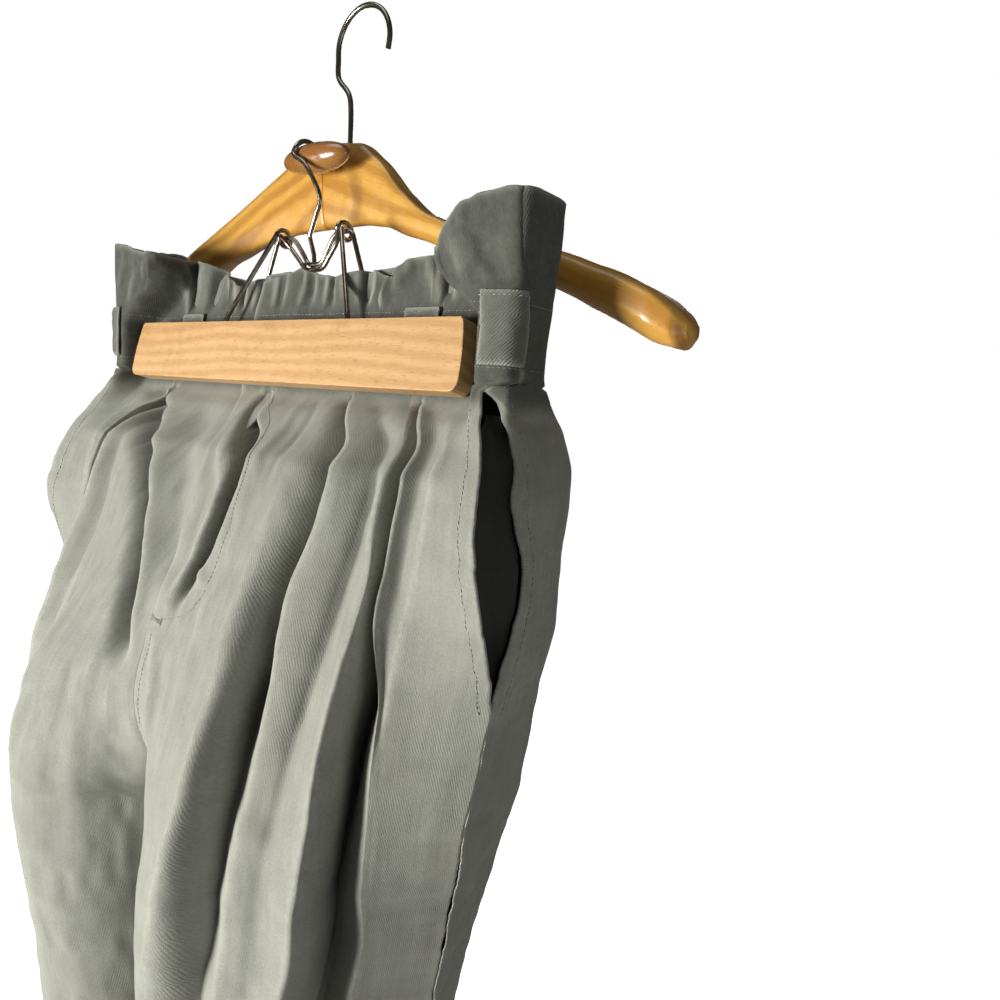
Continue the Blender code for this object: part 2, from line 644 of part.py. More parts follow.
def bar_outline():
    # Half of a bar's face seen from the front: a bowed end with a round lower corner
    top = BAR_LENGTH / 2 - 0.0035
    high = BAR_HEIGHT / 2
    corner = 0.006
    end = []
    for k in range(5):
        t = k / 4
        z = high - 0.002 - t * (BAR_HEIGHT - corner - 0.002)
        bow = 0.0025 * (1 - (2 * t - 1) ** 2)
        end.append((top + 0.0035 * t + bow * 0.4, z))
    for k in range(1, 4):
        angle = k * math.pi / 8
        x = BAR_LENGTH / 2 - corner + corner * math.cos(angle)
        end.append((x, corner - high - corner * math.sin(angle)))
    right = [(top - 0.002, high)] + end + [(BAR_LENGTH / 2 - corner, -high)]
    return right + [(-x, z) for x, z in reversed(right)]


def build_bars(material, collection):
    places = {
        "clamp_bar_front": BAR_FACE - BAR_THICK / 2,
        "clamp_bar_back": BAR_FACE + GRIP + BAR_THICK / 2,
    }
    for name, across in places.items():
        outline = bpy.data.curves.new(name, "CURVE")
        outline.dimensions = "2D"
        outline.fill_mode = "BOTH"
        outline.extrude = BAR_THICK / 2
        spline = outline.splines.new("POLY")
        corners = bar_outline()
        spline.points.add(len(corners) - 1)
        for point, (x, z) in zip(spline.points, corners):
            point.co = (x, z, 0.0, 1.0)
        spline.use_cyclic_u = True
        bar = bpy.data.objects.new(name, outline)
        collection.objects.link(bar)
        bar.rotation_euler = (math.pi / 2 - TILT, 0.0, 0.0)
        bar.location = clamp_point(0.0, across, BAR_LOW)
        outline.materials.append(material)
        as_mesh(bar)
        round_off(bar, 0.0022, 2)


def as_mesh(thing):
    bpy.context.view_layer.objects.active = thing
    bpy.ops.object.select_all(action="DESELECT")
    thing.select_set(True)
    bpy.ops.object.convert(target="MESH")
    bm = bmesh.new()
    bm.from_mesh(thing.data)
    bmesh.ops.remove_doubles(bm, verts=bm.verts, dist=0.00001)
    bm.to_mesh(thing.data)
    bm.free()


def round_off(thing, width, segments):
    bevel = thing.modifiers.new("Bevel", "BEVEL")
    bevel.width = width
    bevel.segments = segments
    bevel.limit_method = "ANGLE"
    bevel.angle_limit = math.radians(50)


def wire(name, points, radius, material, collection):
    curve = bpy.data.curves.new(name, "CURVE")
    curve.dimensions = "3D"
    curve.bevel_depth = radius
    curve.bevel_resolution = 2
    curve.use_fill_caps = True
    spline = curve.splines.new("POLY")
    spline.points.add(len(points) - 1)
    for point, place in zip(spline.points, points):
        point.co = (*place, 1.0)
    curve.materials.append(material)
    thing = bpy.data.objects.new(name, curve)
    collection.objects.link(thing)
    return thing


def smooth_path(points, steps):
    # A curve through hand-picked points, with a few steps between each two
    path = []
    ends = [points[0]] + list(points) + [points[-1]]
    for a, b, c, d in zip(ends, ends[1:], ends[2:], ends[3:]):
        for k in range(steps):
            t = k / steps
            path.append(0.5 * (2 * b + (c - a) * t + (2 * a - 5 * b + 4 * c - d) * t * t
                               + (3 * b - a - 3 * c + d) * t ** 3))
    return path + [points[-1]]


def foot_points(x, across):
    # The end of a wire on the top edge of a bar, square to it
    foot = BAR_LOW + BAR_HEIGHT / 2 + SEAM_GAP
    return [clamp_point(x, across, foot), clamp_point(x, across, foot + 0.003)]


def dip(across, low, reach):
    # The sag of a bail between its coils, flat at the bottom, as places along X
    shape = ((1.0, 0.35, 0.0148), (0.60, 0.75, 0.0062), (0.36, 1.0, 0.0))
    left = [(-reach * x, across * a - MIDDLE_PULL * (1 - a), low + z) for x, a, z in shape]
    right = [(-x, across_at, along) for x, across_at, along in reversed(left)]
    return [clamp_point(*place) for place in left + right]


def front_bail():
    # Up from the bar, one turn at the left coil, the dip, one turn at the right coil, and down
    bar = BAR_FACE - BAR_THICK / 2
    points = foot_points(-FOOT_X, bar)
    for start in (-COIL_X - COIL_RUN / 2, COIL_X - COIL_RUN / 2):
        for k in range(11):
            angle = k * 2 * math.pi / 10
            across = COIL_ACROSS - COIL_RADIUS * math.cos(angle)
            along = COIL_ALONG + COIL_RADIUS * math.sin(angle)
            points.append(clamp_point(start + COIL_RUN * k / 10, across, along))
        if start < 0:
            points += dip(DIP_ACROSS, DIP_LOW, 0.0230)
    return points + foot_points(FOOT_X, bar)[::-1]


def back_bail():
    # The same route, but straight through the middle of both coils
    bar = BAR_FACE + GRIP + BAR_THICK / 2
    clear = COIL_RUN / 2 + 2 * WIRE + 0.001
    points = foot_points(-FOOT_X, bar)
    points += [clamp_point(x, COIL_ACROSS, COIL_ALONG) for x in (-COIL_X - clear, clear - COIL_X)]
    points += dip(DIP_ACROSS, DIP_LOW + 2 * WIRE + 0.0004, 0.0180)
    points += [clamp_point(x, COIL_ACROSS, COIL_ALONG) for x in (COIL_X - clear, COIL_X + clear)]
    return points + foot_points(FOOT_X, bar)[::-1]


def catch():
    # The lower end of the clamp's hook: a small J under both dips
    low = DIP_LOW - 2 * WIRE - 0.0003 + CATCH_RADIUS
    points = [(CATCH_X, DIP_ACROSS - CATCH_RADIUS, low + 0.003)]
    for k in range(7):
        angle = math.pi + k * math.pi / 6
        across = DIP_ACROSS + CATCH_RADIUS * math.cos(angle)
        points.append((CATCH_X, across, low + CATCH_RADIUS * math.sin(angle)))
    points.append((CATCH_X, DIP_ACROSS + CATCH_RADIUS, low + 0.009))
    return [clamp_point(*place) for place in points]


def build_wires(material, collection):
    wire("clamp_bail_front", front_bail(), WIRE, material, collection)
    wire("clamp_bail_back", back_bail(), WIRE, material, collection)
    over = KNOB_SIZE[2] / 2 + WIRE + 0.0004
    shank = [(-0.010, 0.0165, 0.0760), (-0.003, 0.0150, 0.0880), (0.001, 0.0145, 0.0970),
             (-0.003, 0.0125, 0.1080), (-0.0110, KNOB[1] - over, 0.1190)]
    for k in range(7):
        angle = math.pi - k * math.pi / 6
        shank.append((OVER_X, KNOB[1] + over * math.cos(angle), KNOB[2] + over * math.sin(angle)))
    points = [Vector((x, y + CLAMP_Y, z + CLAMP_Z)) for x, y, z in shank]
    wire("clamp_hook", catch() + smooth_path(points, 3), WIRE, material, collection)


def arm(name, start, end, material, collection):
    # Half of the coat hanger: rounded sections along its length, closed at both ends
    stations = [row[0] for row in ARMS.rows if min(start, end) < row[0] < max(start, end)]
    stations = sorted([start, end] + stations)
    vertices = []
    for x in stations:
        half_height = ARMS.read("height", x) / 2
        half_depth = ARMS.read("depth", x) / 2
        y = ARMS.read("middle", x)
        z = ARMS.read("top", x) - half_height
        for k in range(ARM_SIDES):
            angle = 2 * math.pi * k / ARM_SIDES
            cos = math.cos(angle)
            sin = math.sin(angle)
            power = 2 / ARM_SQUARE
            vertices.append((
                x,
                CLAMP_Y + y + half_depth * math.copysign(abs(cos) ** power, cos),
                CLAMP_Z + z + half_height * math.copysign(abs(sin) ** power, sin),
            ))
    faces = []
    for r in range(len(stations) - 1):
        for k in range(ARM_SIDES):
            a = r * ARM_SIDES + k
            b = r * ARM_SIDES + (k + 1) % ARM_SIDES
            faces.append((a, b, b + ARM_SIDES, a + ARM_SIDES))
    last = (len(stations) - 1) * ARM_SIDES
    faces.append(tuple(range(ARM_SIDES))[::-1])
    faces.append(tuple(range(last, last + ARM_SIDES)))
    return solid(name, vertices, faces, material, collection)


def build_coat_hanger(wood, knob_wood, steel, collection):
    gap = SEAM_GAP / 2
    arm("hanger_arm_right", ARMS.rows[0, 0], ARM_JOINT - gap, wood, collection)
    arm("hanger_arm_left", ARM_JOINT + gap, ARMS.rows[-1, 0], wood, collection)

    bpy.ops.mesh.primitive_uv_sphere_add(segments=16, ring_count=12, radius=0.5)
    knob = bpy.context.object
    knob.name = "hanger_knob"
    knob.rotation_euler = (0.0, math.pi / 2, 0.0)
    knob.scale = (KNOB_SIZE[2], KNOB_SIZE[1], KNOB_SIZE[0])
    knob.location = (KNOB[0], KNOB[1] + CLAMP_Y, KNOB[2] + CLAMP_Z)
    adopt(knob, knob_wood, collection)

    start = KNOB[1] + KNOB_SIZE[1] / 2 + SEAM_GAP
    end = HANGER_Y - ARMS.read("depth", PEG_X) / 2 - SEAM_GAP
    bpy.ops.mesh.primitive_cylinder_add(vertices=16, radius=PEG_RADIUS, depth=end - start)
    peg = bpy.context.object
    peg.name = "hanger_peg"
    peg.rotation_euler = (math.pi / 2, 0.0, 0.0)
    peg.location = (PEG_X, (start + end) / 2 + CLAMP_Y, KNOB[2] + CLAMP_Z)
    adopt(peg, knob_wood, collection)

    x, z = HOOK_CENTRE
    foot = ARMS.read("top", -0.008) + SEAM_GAP
    route = [(-0.008, foot), (-0.009, 0.162), (-0.012, 0.173), (-0.022, 0.184)]
    path = [Vector((px, HANGER_Y, pz)) for px, pz in route]
    for k in range(11):
        angle = math.pi * (1.06 - k * 0.115)
        hook = (x + HOOK_RADIUS * math.cos(angle), HANGER_Y, z + HOOK_RADIUS * math.sin(angle))
        path.append(Vector(hook))
    path = [point + Vector((0.0, CLAMP_Y, CLAMP_Z)) for point in path]
    wire("hanger_hook", smooth_path(path, 2), HOOK_WIRE, steel, collection)


def adopt(thing, material, collection):
    for owner in thing.users_collection:
        owner.objects.unlink(thing)
    collection.objects.link(thing)
    thing.data.materials.append(material)


def surface(name, color, roughness, metallic=0.0):
    material = bpy.data.materials.new(name)
    material.use_nodes = True
    shader = material.node_tree.nodes["Principled BSDF"]
    shader.inputs["Base Color"].default_value = (*color, 1.0)
    shader.inputs["Roughness"].default_value = roughness
    shader.inputs["Metallic"].default_value = metallic
    return material


def main():
    for thing in list(bpy.data.objects):
        bpy.data.objects.remove(thing)
    collection = bpy.data.collections.new("paperbag_trousers")
    bpy.context.scene.collection.children.link(collection)
    twill = surface("twill", (0.205, 0.215, 0.190), 0.85)
    pocketing = surface("pocketing", (0.17, 0.18, 0.16), 0.90)
    beech = surface("beech", (0.62, 0.38, 0.19), 0.45)
    varnish = surface("varnished_beech", (0.66, 0.36, 0.12), 0.22)
    knob_wood = surface("turned_wood", (0.42, 0.22, 0.09), 0.30)
    steel = surface("wire_steel", (0.42, 0.39, 0.35), 0.28, 1.0)
    build_panels(twill, collection)
    build_loops(twill, collection)
    build_pocket_bags(pocketing, collection)
    build_bars(beech, collection)
    build_wires(steel, collection)
    build_coat_hanger(varnish, knob_wood, steel, collection)


main()
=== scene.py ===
import math

import bpy
import bmesh
import numpy as np
from mathutils import Matrix, Vector


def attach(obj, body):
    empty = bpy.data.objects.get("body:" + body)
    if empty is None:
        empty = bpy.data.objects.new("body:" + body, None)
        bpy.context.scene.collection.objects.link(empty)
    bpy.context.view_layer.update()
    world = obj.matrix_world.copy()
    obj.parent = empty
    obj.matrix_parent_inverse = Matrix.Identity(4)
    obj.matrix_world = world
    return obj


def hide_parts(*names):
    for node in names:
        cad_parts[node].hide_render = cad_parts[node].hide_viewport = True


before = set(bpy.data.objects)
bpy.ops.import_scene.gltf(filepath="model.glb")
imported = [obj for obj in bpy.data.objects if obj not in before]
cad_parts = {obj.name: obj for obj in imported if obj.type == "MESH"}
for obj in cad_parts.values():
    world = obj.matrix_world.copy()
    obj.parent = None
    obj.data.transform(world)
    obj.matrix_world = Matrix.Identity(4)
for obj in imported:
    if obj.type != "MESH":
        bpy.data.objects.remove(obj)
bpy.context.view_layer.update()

# A drop is the distance below the waist seam, and x is measured from the middle. The values
# here are in metres, those of the tables and the creases in millimetres.
form = {
    "clampY": -0.045,           # middle of the clamp's bars
    "clampZ": -0.2223,
    "waist": 0.025,             # waist seam above the bars' middle
    "tilt": math.radians(10.7),
    "frontLayer": -0.00505,     # where the bars hold the front and the back, across their lean
    "backLayer": 0.00035,
    "crotch": 0.291,
    "flyEnd": 0.175,
    "hem": 0.975,
    "cloth": 0.0009,            # thickness of one layer
    "hemCloth": 0.0018,         # and of a turned edge
    "hemTurn": 0.024,           # height of the turned hem
    "seamGap": 0.0003,
    "lap": 0.0018,              # how far the fly lies over the right front
    "rightFolds": 0.85,         # the right side's folds against the left's
    "standWay": (0.60, -0.80),  # which way the side edges stand off
}
# where the tables' places are measured from
origin = np.array((0.0, form["clampY"], form["clampZ"]))


def makeTable(names, *rows, plain=()):
    # the columns named plain aren't lengths
    names = names.split()
    return names, np.array(rows) / [1 if name in plain else 1000 for name in names]


def readTable(table, name, key):
    # between two rows a value follows a smooth curve that never overshoots them
    names, rows = table
    x, y = rows[:, 0], rows[:, names.index(name)]
    key = np.clip(np.asarray(key, float), x[0], x[-1])
    step = np.diff(x)
    rise = np.diff(y) / step
    slope = np.r_[rise[0], np.zeros(len(x) - 2), rise[-1]]
    for i in range(1, len(x) - 1):
        if rise[i - 1] * rise[i] > 0:
            before = 2 * step[i] + step[i - 1]
            after = step[i] + 2 * step[i - 1]
            slope[i] = (before + after) / (before / rise[i - 1] + after / rise[i])
    i = np.minimum(np.searchsorted(x, key, side="right") - 1, len(x) - 2)
    t = (key - x[i]) / step[i]
    low = y[i] + step[i] * slope[i] * t
    high = y[i + 1] - step[i] * slope[i + 1] * (1 - t)
    return low + (high - low) * t * t * (3 - 2 * t)


def smooth(t):
    t = np.clip(t, 0.0, 1.0)
    return t * t * (3 - 2 * t)


def between(value, low, rise, high, fall):
    # 1 between the two ends, and 0 outside them
    return smooth((value - low) / rise) * smooth((high - value) / fall)


def softNoise(u, v, seed):
    # smooth random hills and hollows, about one to each unit square
    size = 97
    hills = np.random.default_rng(seed).uniform(-1, 1, (size, size))
    u, v = np.broadcast_arrays(np.asarray(u, float), np.asarray(v, float))
    iu, iv = np.floor(u).astype(int), np.floor(v).astype(int)
    fu, fv = smooth(u - iu), smooth(v - iv)
    a, b = (hills[iu % size, row % size] * (1 - fu) + hills[(iu + 1) % size, row % size] * fu
            for row in (iv, iv + 1))
    return a * (1 - fv) + b * fv


# one leg and its half of the hips
sections = makeTable(
    "drop outer inner front back square seam",
    (-55, 186, -186, -27, 17, 7, -21),
    (-25, 185, -185, -26, 16, 8, -19),
    (0, 184, -184, -26, 15, 8, -13),
    (28, 182, -182, -26, 15, 8, -10),
    (46, 183, -183, -29, 26, 7, -16),
    (62, 187, -187, -34, 48, 5, -21),
    (80, 193, -193, -46, 59, 3.8, -22),
    (100, 196, -194, -58, 65, 3, -22),
    (145, 196, -166, -75.5, 67, 2.5, -24),
    (190, 190, -115, -94.5, 66, 2.3, -25),
    (240, 181, -55, -109, 76, 2.2, -26),
    (275, 173, -12, -114, 78, 2.15, -21),
    (291, 168, 0.15, -115, 78, 2.1, -18),
    (320, 162, 3, -115, 74, 2.1, -15),
    (390, 147, 4.5, -113, 67, 2.15, -10),
    (580, 120, 7, -100, 62, 2.2, -6),
    (780, 106, 10, -88, 60, 2.2, -4),
    (975, 98, 13, -80, 58, 2.2, -2),
    plain=("square",),
)
# how hard the bars hold the layers, and out to which x
hold = makeTable(
    "drop grip reach",
    (-55, 0.7, 118),
    (-25, 0.96, 122),
    (0, 1, 146),
    (8, 1, 154.5),
    (48, 1, 154.5),
    (60, 0.62, 156),
    (84, 0, 160),
    plain=("grip",),
)
# x of each fold line of a front, and how far it stands out
foldX = makeTable(
    "drop ridge1 pleat1 edge1 sag ridge2 pleat2 edge2 dip ridge3 turn",
    (-55, 58, 73, 77, 95, 111, 119.5, 123, 126, 129, 133),
    (0, 57, 71.5, 74.5, 93, 111, 119, 121.5, 128, 137, 147),
    (46, 50, 64, 66.5, 88, 110, 117.2, 119.7, 128, 142, 154.5),
    (60, 57, 74, 77, 98, 119, 126.2, 129.2, 138, 148, 159),
    (80, 70, 93, 97, 119, 131, 138.2, 141.5, 149, 156.5, 167),
    (110, 72, 97.5, 101.8, 123.5, 135, 142, 145, 152, 159, 171),
    (145, 72, 92.5, 96.5, 121.5, 139.5, 143.5, 146.2, 152, 159.3, 173),
    (190, 81, 95, 104.5, 122.5, 137.6, 152.8, 155.6, 156.8, 158.5, 173),
    (240, 84, 96.5, 108.5, 122, 138.2, 153, 156.2, 158, 160, 168),
    (291, 80, 96, 108, 120, 134.5, 149.2, 152.5, 155, 157, 163),
    (340, 68, 90, 102, 113, 126, 141.5, 145, 148, 150, 154),
    (390, 57, 83, 94, 104, 116, 129, 133, 137, 140, 143),
    (580, 42, 60, 73, 83, 94, 102, 106.5, 110, 112, 114.5),
    (975, 34, 50, 59, 67, 74, 80, 84.5, 87, 89, 91),
)
foldOut = makeTable(
    "drop ridge1 pleat1 edge1 sag ridge2 pleat2 edge2 dip ridge3",
    (-55, 0.6, -2.4, 3.5, 1, 4, -3, 4.5, 2, 1),
    (-20, 0.3, -1.8, 2.6, 0.5, 2.7, -2.2, 3, 1.4, 0.6),
    (0, 0, -0.8, 0.6, 0, 0.5, -1, 0.8, 0, 0),
    (46, 0, -1, 0.6, 0, 0.4, -1.2, 0.6, 0, 0),
    (53, 1.4, -7, 4, 0, 1.4, -7, 4, 0.4, 1),
    (60, 3.4, -12.5, 5.2, -1, 2.6, -11.5, 5, 0, 2.4),
    (80, 5.4, -16, 5.2, -4, 3.6, -14, 5, -0.6, 3.8),
    (110, 8.2, -17.5, 4.8, -6.4, 4.8, -14, 5.6, 0.6, 4.6),
    (145, 11.2, -16.5, 4, -7.8, 7.2, -18, 6, 1.6, 5),
    (190, 15, -12.5, 1.4, -6.2, 9.8, -22, 5, 4, 4.6),
    (240, 18, -10.5, 0, -2.6, 10.6, -23, 4, 3, 2),
    (291, 18.5, -8, 0, -1, 10.6, -21, 3.6, 2, 1),
    (340, 16, -4, 0, 0, 10, -18.5, 2, 1.2, 1),
    (390, 12.5, -1, 1, 0.4, 9.2, -16, 1, 1, 1),
    (580, 6, -3, 0, 0.6, 5.8, -7.6, 2.2, 1, 0.6),
    (975, 1.5, -0.8, 0, 0.2, 2.2, -2.4, 1, 0, 0),
)
# height of the frill over the waist seam, by the distance from the middle
frill = makeTable(
    "x left right back",
    (0, 27, 26, 20),
    (40, 21, 24, 21),
    (60, 24, 19, 23),
    (77, 19, 26, 26),
    (95, 27, 34, 29),
    (114, 28, 38, 32),
    (124, 27, 39, 34),
    (143, 36, 41, 40),
    (156, 45, 44, 45),
    (172, 49, 48, 49),
    (190, 50, 50, 50),
)
flyReach = makeTable(
    "drop reach",
    (-55, 27),
    (-12, 36),
    (0, 38),
    (46, 37),
    (60, 29),
    (76, 19),
    (100, 6),
    (126, 1),
    (175, 0),
)
# the edges of the side pocket, by the distance from the side seam
pocketEdges = makeTable(
    "drop front back",
    (37.5, 0, 0),
    (41.5, -18.6, -17.8),
    (46.3, -17.2, -10.7),
    (55, -13.8, -2.4),
    (64, -13.6, 1.5),
    (73, -14.8, 2),
    (91, -19, -2),
    (102, -19.7, 0),
    (115, -18.1, 4.5),
    (128, -15.5, 7.4),
    (139, -12.9, 6.7),
    (153, -10, 3.3),
    (170, -5.2, 0.7),
    (189, 0, 0),
)
# how far the front's and the back's side edge stand forward off the leg
standOff = makeTable(
    "drop front back",
    (41.5, 0, 0),
    (46.3, 3, 0),
    (55, 7, 1),
    (64, 11, 2),
    (73, 14, 3),
    (91, 20.5, 5),
    (115, 27, 9),
    (128, 30, 12),
    (153, 25.5, 16.5),
    (170, 22.5, 19),
    (189, 21, 21),
    (240, 21.2, 21.2),
    (291, 22.5, 22.5),
    (390, 21, 21),
    (580, 12.5, 12.5),
    (975, 3, 3),
)

# the side pocket: where its edges are turned under, and how far, and then the size of its bag
pocket = {"from": 0.040, "to": 0.192, "turn": 0.0085, "top": 0.050, "bottom": 0.205, "depth": 0.018,
          "cloth": 0.0006}

sectionStore = {}


def sectionAt(drop):
    # the outline of one leg at one drop, from its front edge round the side to its back edge
    key = round(float(drop), 5)
    if key in sectionStore:
        return sectionStore[key]
    read = {name: float(readTable(sections, name, drop)) for name in sections[0][1:]}
    angle = np.linspace(-math.pi, math.pi, 721)
    cos, sin = np.cos(angle), np.sin(angle)
    power = 2 / read["square"]
    half = (read["outer"] - read["inner"]) / 2
    x = (read["outer"] + read["inner"]) / 2 + half * np.sign(cos) * np.abs(cos) ** power
    y = np.where(sin < 0, -read["front"], read["back"]) * np.sign(sin) * np.abs(sin) ** power
    back = angle > 0
    edge = form["seamGap"] / 2
    cut = x.min() < edge - 1e-6
    if cut:
        keep = np.nonzero(x > edge)[0]
        first, last = keep[0], keep[-1]
        yFirst = np.interp(edge, x[first - 1:first + 1], y[first - 1:first + 1])
        yLast = np.interp(edge, x[last:last + 2][::-1], y[last:last + 2][::-1])
        x = np.r_[edge, x[first:last + 1], edge]
        y = np.r_[yFirst, y[first:last + 1], yLast]
        back = np.r_[False, back[first:last + 1], True]
    across = np.where(back, form["backLayer"], form["frontLayer"])
    layer = (across + (form["waist"] - drop) * math.sin(form["tilt"])) / math.cos(form["tilt"])
    reach = readTable(hold, "reach", drop)
    held = readTable(hold, "grip", drop) * smooth((reach + 0.010 - x) / 0.010)
    y = y + (layer - y) * held
    s = np.r_[0.0, np.cumsum(np.hypot(np.diff(x), np.diff(y)))]
    side = x > 0.9 * x.max()
    sectionStore[key] = {
        "x": x, "y": y, "s": s, "length": s[-1], "cut": cut, "turn": int(np.argmax(x)),
        "seam": s[np.argmin(np.where(side, np.abs(y - read["seam"]), 1.0))],
    }
    return sectionStore[key]


def frontAt(section, x):
    turn = section["turn"]
    return np.interp(x, section["x"][:turn + 1], section["s"][:turn + 1])


def backAt(section, x):
    turn = section["turn"]
    return np.interp(x, section["x"][turn:][::-1], section["s"][turn:][::-1])


def onSection(section, s):
    # places and outward directions, and a place before the start lies past the middle
    s = np.asarray(s, float)
    over = s < 0
    t = np.where(over, frontAt(section, -s), s)
    near, far = np.maximum(t - 0.003, 0.0), np.minimum(t + 0.003, section["length"])
    (x, xNear, xFar), (y, yNear, yFar) = (
        [np.interp(at, section["s"], section[axis]) for at in (t, near, far)] for axis in "xy")
    dx, dy = xFar - xNear, yFar - yNear
    long = np.hypot(dx, dy)
    x = np.where(over, s, x)
    return x, y, np.where(over, -dy, dy) / long, -dx / long


# Each crease is a soft ridge or hollow: the width and height of its hump, and then the (drop, x)
# points of its line.
frontCreases = [
    # small folds that run out from under the bar
    (4, 1, (49, 86), (78, 104), (120, 112)),
    # soft hollow along the crotch
    (10, -2.6, (225, 4), (250, 18), (300, 30)),
]
leftCreases = [
    # the frill above the bar: a rolled tube between two hollows, a slanting roll, and gathers
    (2.8, -9, (-45, 57), (-22, 58.5), (-4, 60)),
    (8.5, 5, (-45, 44), (-20, 44.5), (-4, 45)),
    (3.2, -8.5, (-45, 119), (-22, 120.5), (-4, 122)),
    (5, 3.6, (-42, 108), (-20, 90), (-2, 70)),
    (2.6, -4.4, (-45, 30), (-20, 29), (-2, 30)),
    (2.6, -3.6, (-45, -15), (-20, -16), (-2, -17)),
    (3.2, -3.6, (-45, 8), (-22, 10), (-2, 9)),
    (3, -4.4, (-45, 86), (-22, 80), (-2, 82)),
    # the sharp hollow inside the fly's folded edge, and the roll beside it
    (3, -15, (45.5, -10), (63, -5), (87, 22.5), (105, 27.5), (128, 27), (147, 23), (166, 18)),
    (6.2, 4.4, (47, -20), (66, -12), (90, 13), (110, 21.5), (135, 20.5), (160, 13), (176, 9)),
    (3.5, 1.4, (50, -3), (70, 6), (90, 30), (112, 37.5), (135, 37.5), (156, 33)),
    (3, 1.8, (146, 24), (150, 32), (154, 40)),
    # the seam allowance under the fly's stitching
    (5, 1, (56, 10), (84, 37), (114, 47), (140, 53), (160, 48), (178, 34)),
    # pulls below the bar tack
    (7, 2.6, (182, 6), (205, 20), (235, 30)),
    (6, -2.4, (190, 20), (214, 34), (250, 41)),
    (3.5, 1.6, (49, 26), (75, 36), (100, 50)),
    (3, -1.6, (49, 38), (70, 50), (98, 58)),
]
# the wearer's right: one long fold from the end of the bar to the crotch
rightCreases = [
    (3.2, -7, (-45, 60), (-22, 60.5), (-2, 59)),
    (4.2, -5.6, (-45, 85), (-22, 90), (-2, 95)),
    (4.2, -6.4, (-45, 120), (-22, 117), (-2, 115)),
    (3, -3.6, (-45, 42), (-22, 40), (-2, 42)),
    (7, 4, (50, 117), (70, 98), (85, 79), (109, 54), (131, 41), (153, 29), (173, 19), (200, 10)),
    (7.5, -18, (50, 133), (70, 113), (85, 92), (109, 67), (131, 53), (153, 41), (173, 31), (205, 20)),
    (13, -7.5, (56, 66), (85, 44), (109, 26), (131, 16), (156, 4)),
]
# painted shade inside each pleat: how far up and down it goes, how wide it reaches and how dark it is
pleatShade = {"pleat1": (0.048, 0.250, 0.0160, 0.85), "sag": (0.075, 0.200, 0.0060, 0.45),
               "pleat2": (0.048, 0.360, 0.0180, 0.95)}
backCreases = [
    (6, -2.8, (50, 60), (110, 58), (200, 54)),
    (7, -3.4, (50, 104), (120, 108), (230, 104)),
    (6, 2.4, (50, 132), (100, 142), (180, 140)),
    (10, -4.2, (238, 10), (262, 40), (300, 74)),
    (11, 3, (270, 14), (306, 44), (360, 70)),
    (12, -3.4, (320, 18), (380, 40), (460, 50)),
    (14, 3.6, (300, 110), (460, 94), (640, 80)),
    (12, -3.4, (300, 80), (480, 66), (700, 56)),
    (10, -2.6, (560, 22), (620, 50), (640, 86)),
]
# the same, with the distance in front of the side seam (below 0) or behind it in place of x
sideCreases = [
    # soft hollows of the frill in front of the seam, and the rolls between them
    (7, -4.2, (-36, -60), (-22, -52), (-10, -46)),
    (5, -2.6, (-34, -26), (-26, -22), (-16, -20)),
    (3.6, 1.6, (-30, -40), (-20, -36), (-8, -34)),
    (3.2, -1.2, (-18, -16), (-6, -12)),
    (4, -1, (-48, 10), (-30, 8), (-10, 6)),
    # the pinch under the side loop
    (4, -2.6, (34, -22), (44, -12), (56, -6), (70, -2)),
    (4, 1.8, (36, -8), (50, -4), (64, 0)),
    (6, -3.4, (40, 6), (52, 10), (62, 20)),
    (9, 2.4, (58, 14), (80, 22), (140, 30)),
    # behind the pocket, and down the seam
    (3.4, 1, (70, 4), (110, 7), (160, 6), (186, 3)),
    (8, -2.2, (90, 26), (150, 24), (230, 16)),
    (7, 1.6, (196, -14), (240, -20), (330, -18)),
    (4, -1.2, (236, 3), (250, 18), (256, 34)),
    (4, -1, (330, 3), (344, 14), (352, 28)),
    (3, 0.6, (215, -3), (500, -3), (975, -3)),
]


def creased(creases, drop, place, ease=0.03):
    # the sum of the creases over a grid of drops and places
    total = np.zeros(drop.shape)
    for width, height, *points in creases:
        line = np.array(points) / 1000
        if len(line) == 2:
            line = np.insert(line, 1, line.mean(axis=0), axis=0)
        table = (["drop", "place"], line)
        centre = readTable(table, "place", drop)
        top, end = line[0, 0], line[-1, 0]
        fade = min(ease, 0.4 * (end - top))
        along = between(drop, top - 0.25 * fade, fade, end + 0.25 * fade, fade)
        # measured square to the crease, also where it runs more across than down
        near, far = (readTable(table, "place", drop + step) for step in (-0.002, 0.002))
        slope = (far - near) / 0.004
        away = (place - centre) / np.sqrt(1 + slope ** 2)
        total += height / 1000 * along * np.exp(-(away / width * 1000) ** 2)
    return total


panelRows = np.r_[np.arange(0.0, 0.36, 0.0025), np.arange(0.36, 0.52, 0.004),
                  np.arange(0.52, 0.965, 0.0085), 0.969, 0.975]
panelRows[np.argmin(np.abs(panelRows - form["crotch"]))] = form["crotch"]
frillSteps = 26
fineFrill = np.arange(-0.056, 0.0005, 0.002)


def spread(lines, counts):
    # places between lines, a given number for each stretch, with the fraction of the stretch
    index = np.repeat(np.arange(len(counts)), counts)
    part = np.concatenate([np.arange(n) / n for n in counts])
    index, part = np.r_[index, len(counts) - 1], np.r_[part, 1.0]
    places = lines[:, index] + (lines[:, index + 1] - lines[:, index]) * part
    return places, index, part


def held(drop, x):
    # 1 where the bars hold the cloth flat, 0 well away from them
    across = smooth((0.159 - np.abs(x)) / 0.006)
    return across * smooth((drop + 0.006) / 0.006) * smooth((0.0525 - drop) / 0.005)


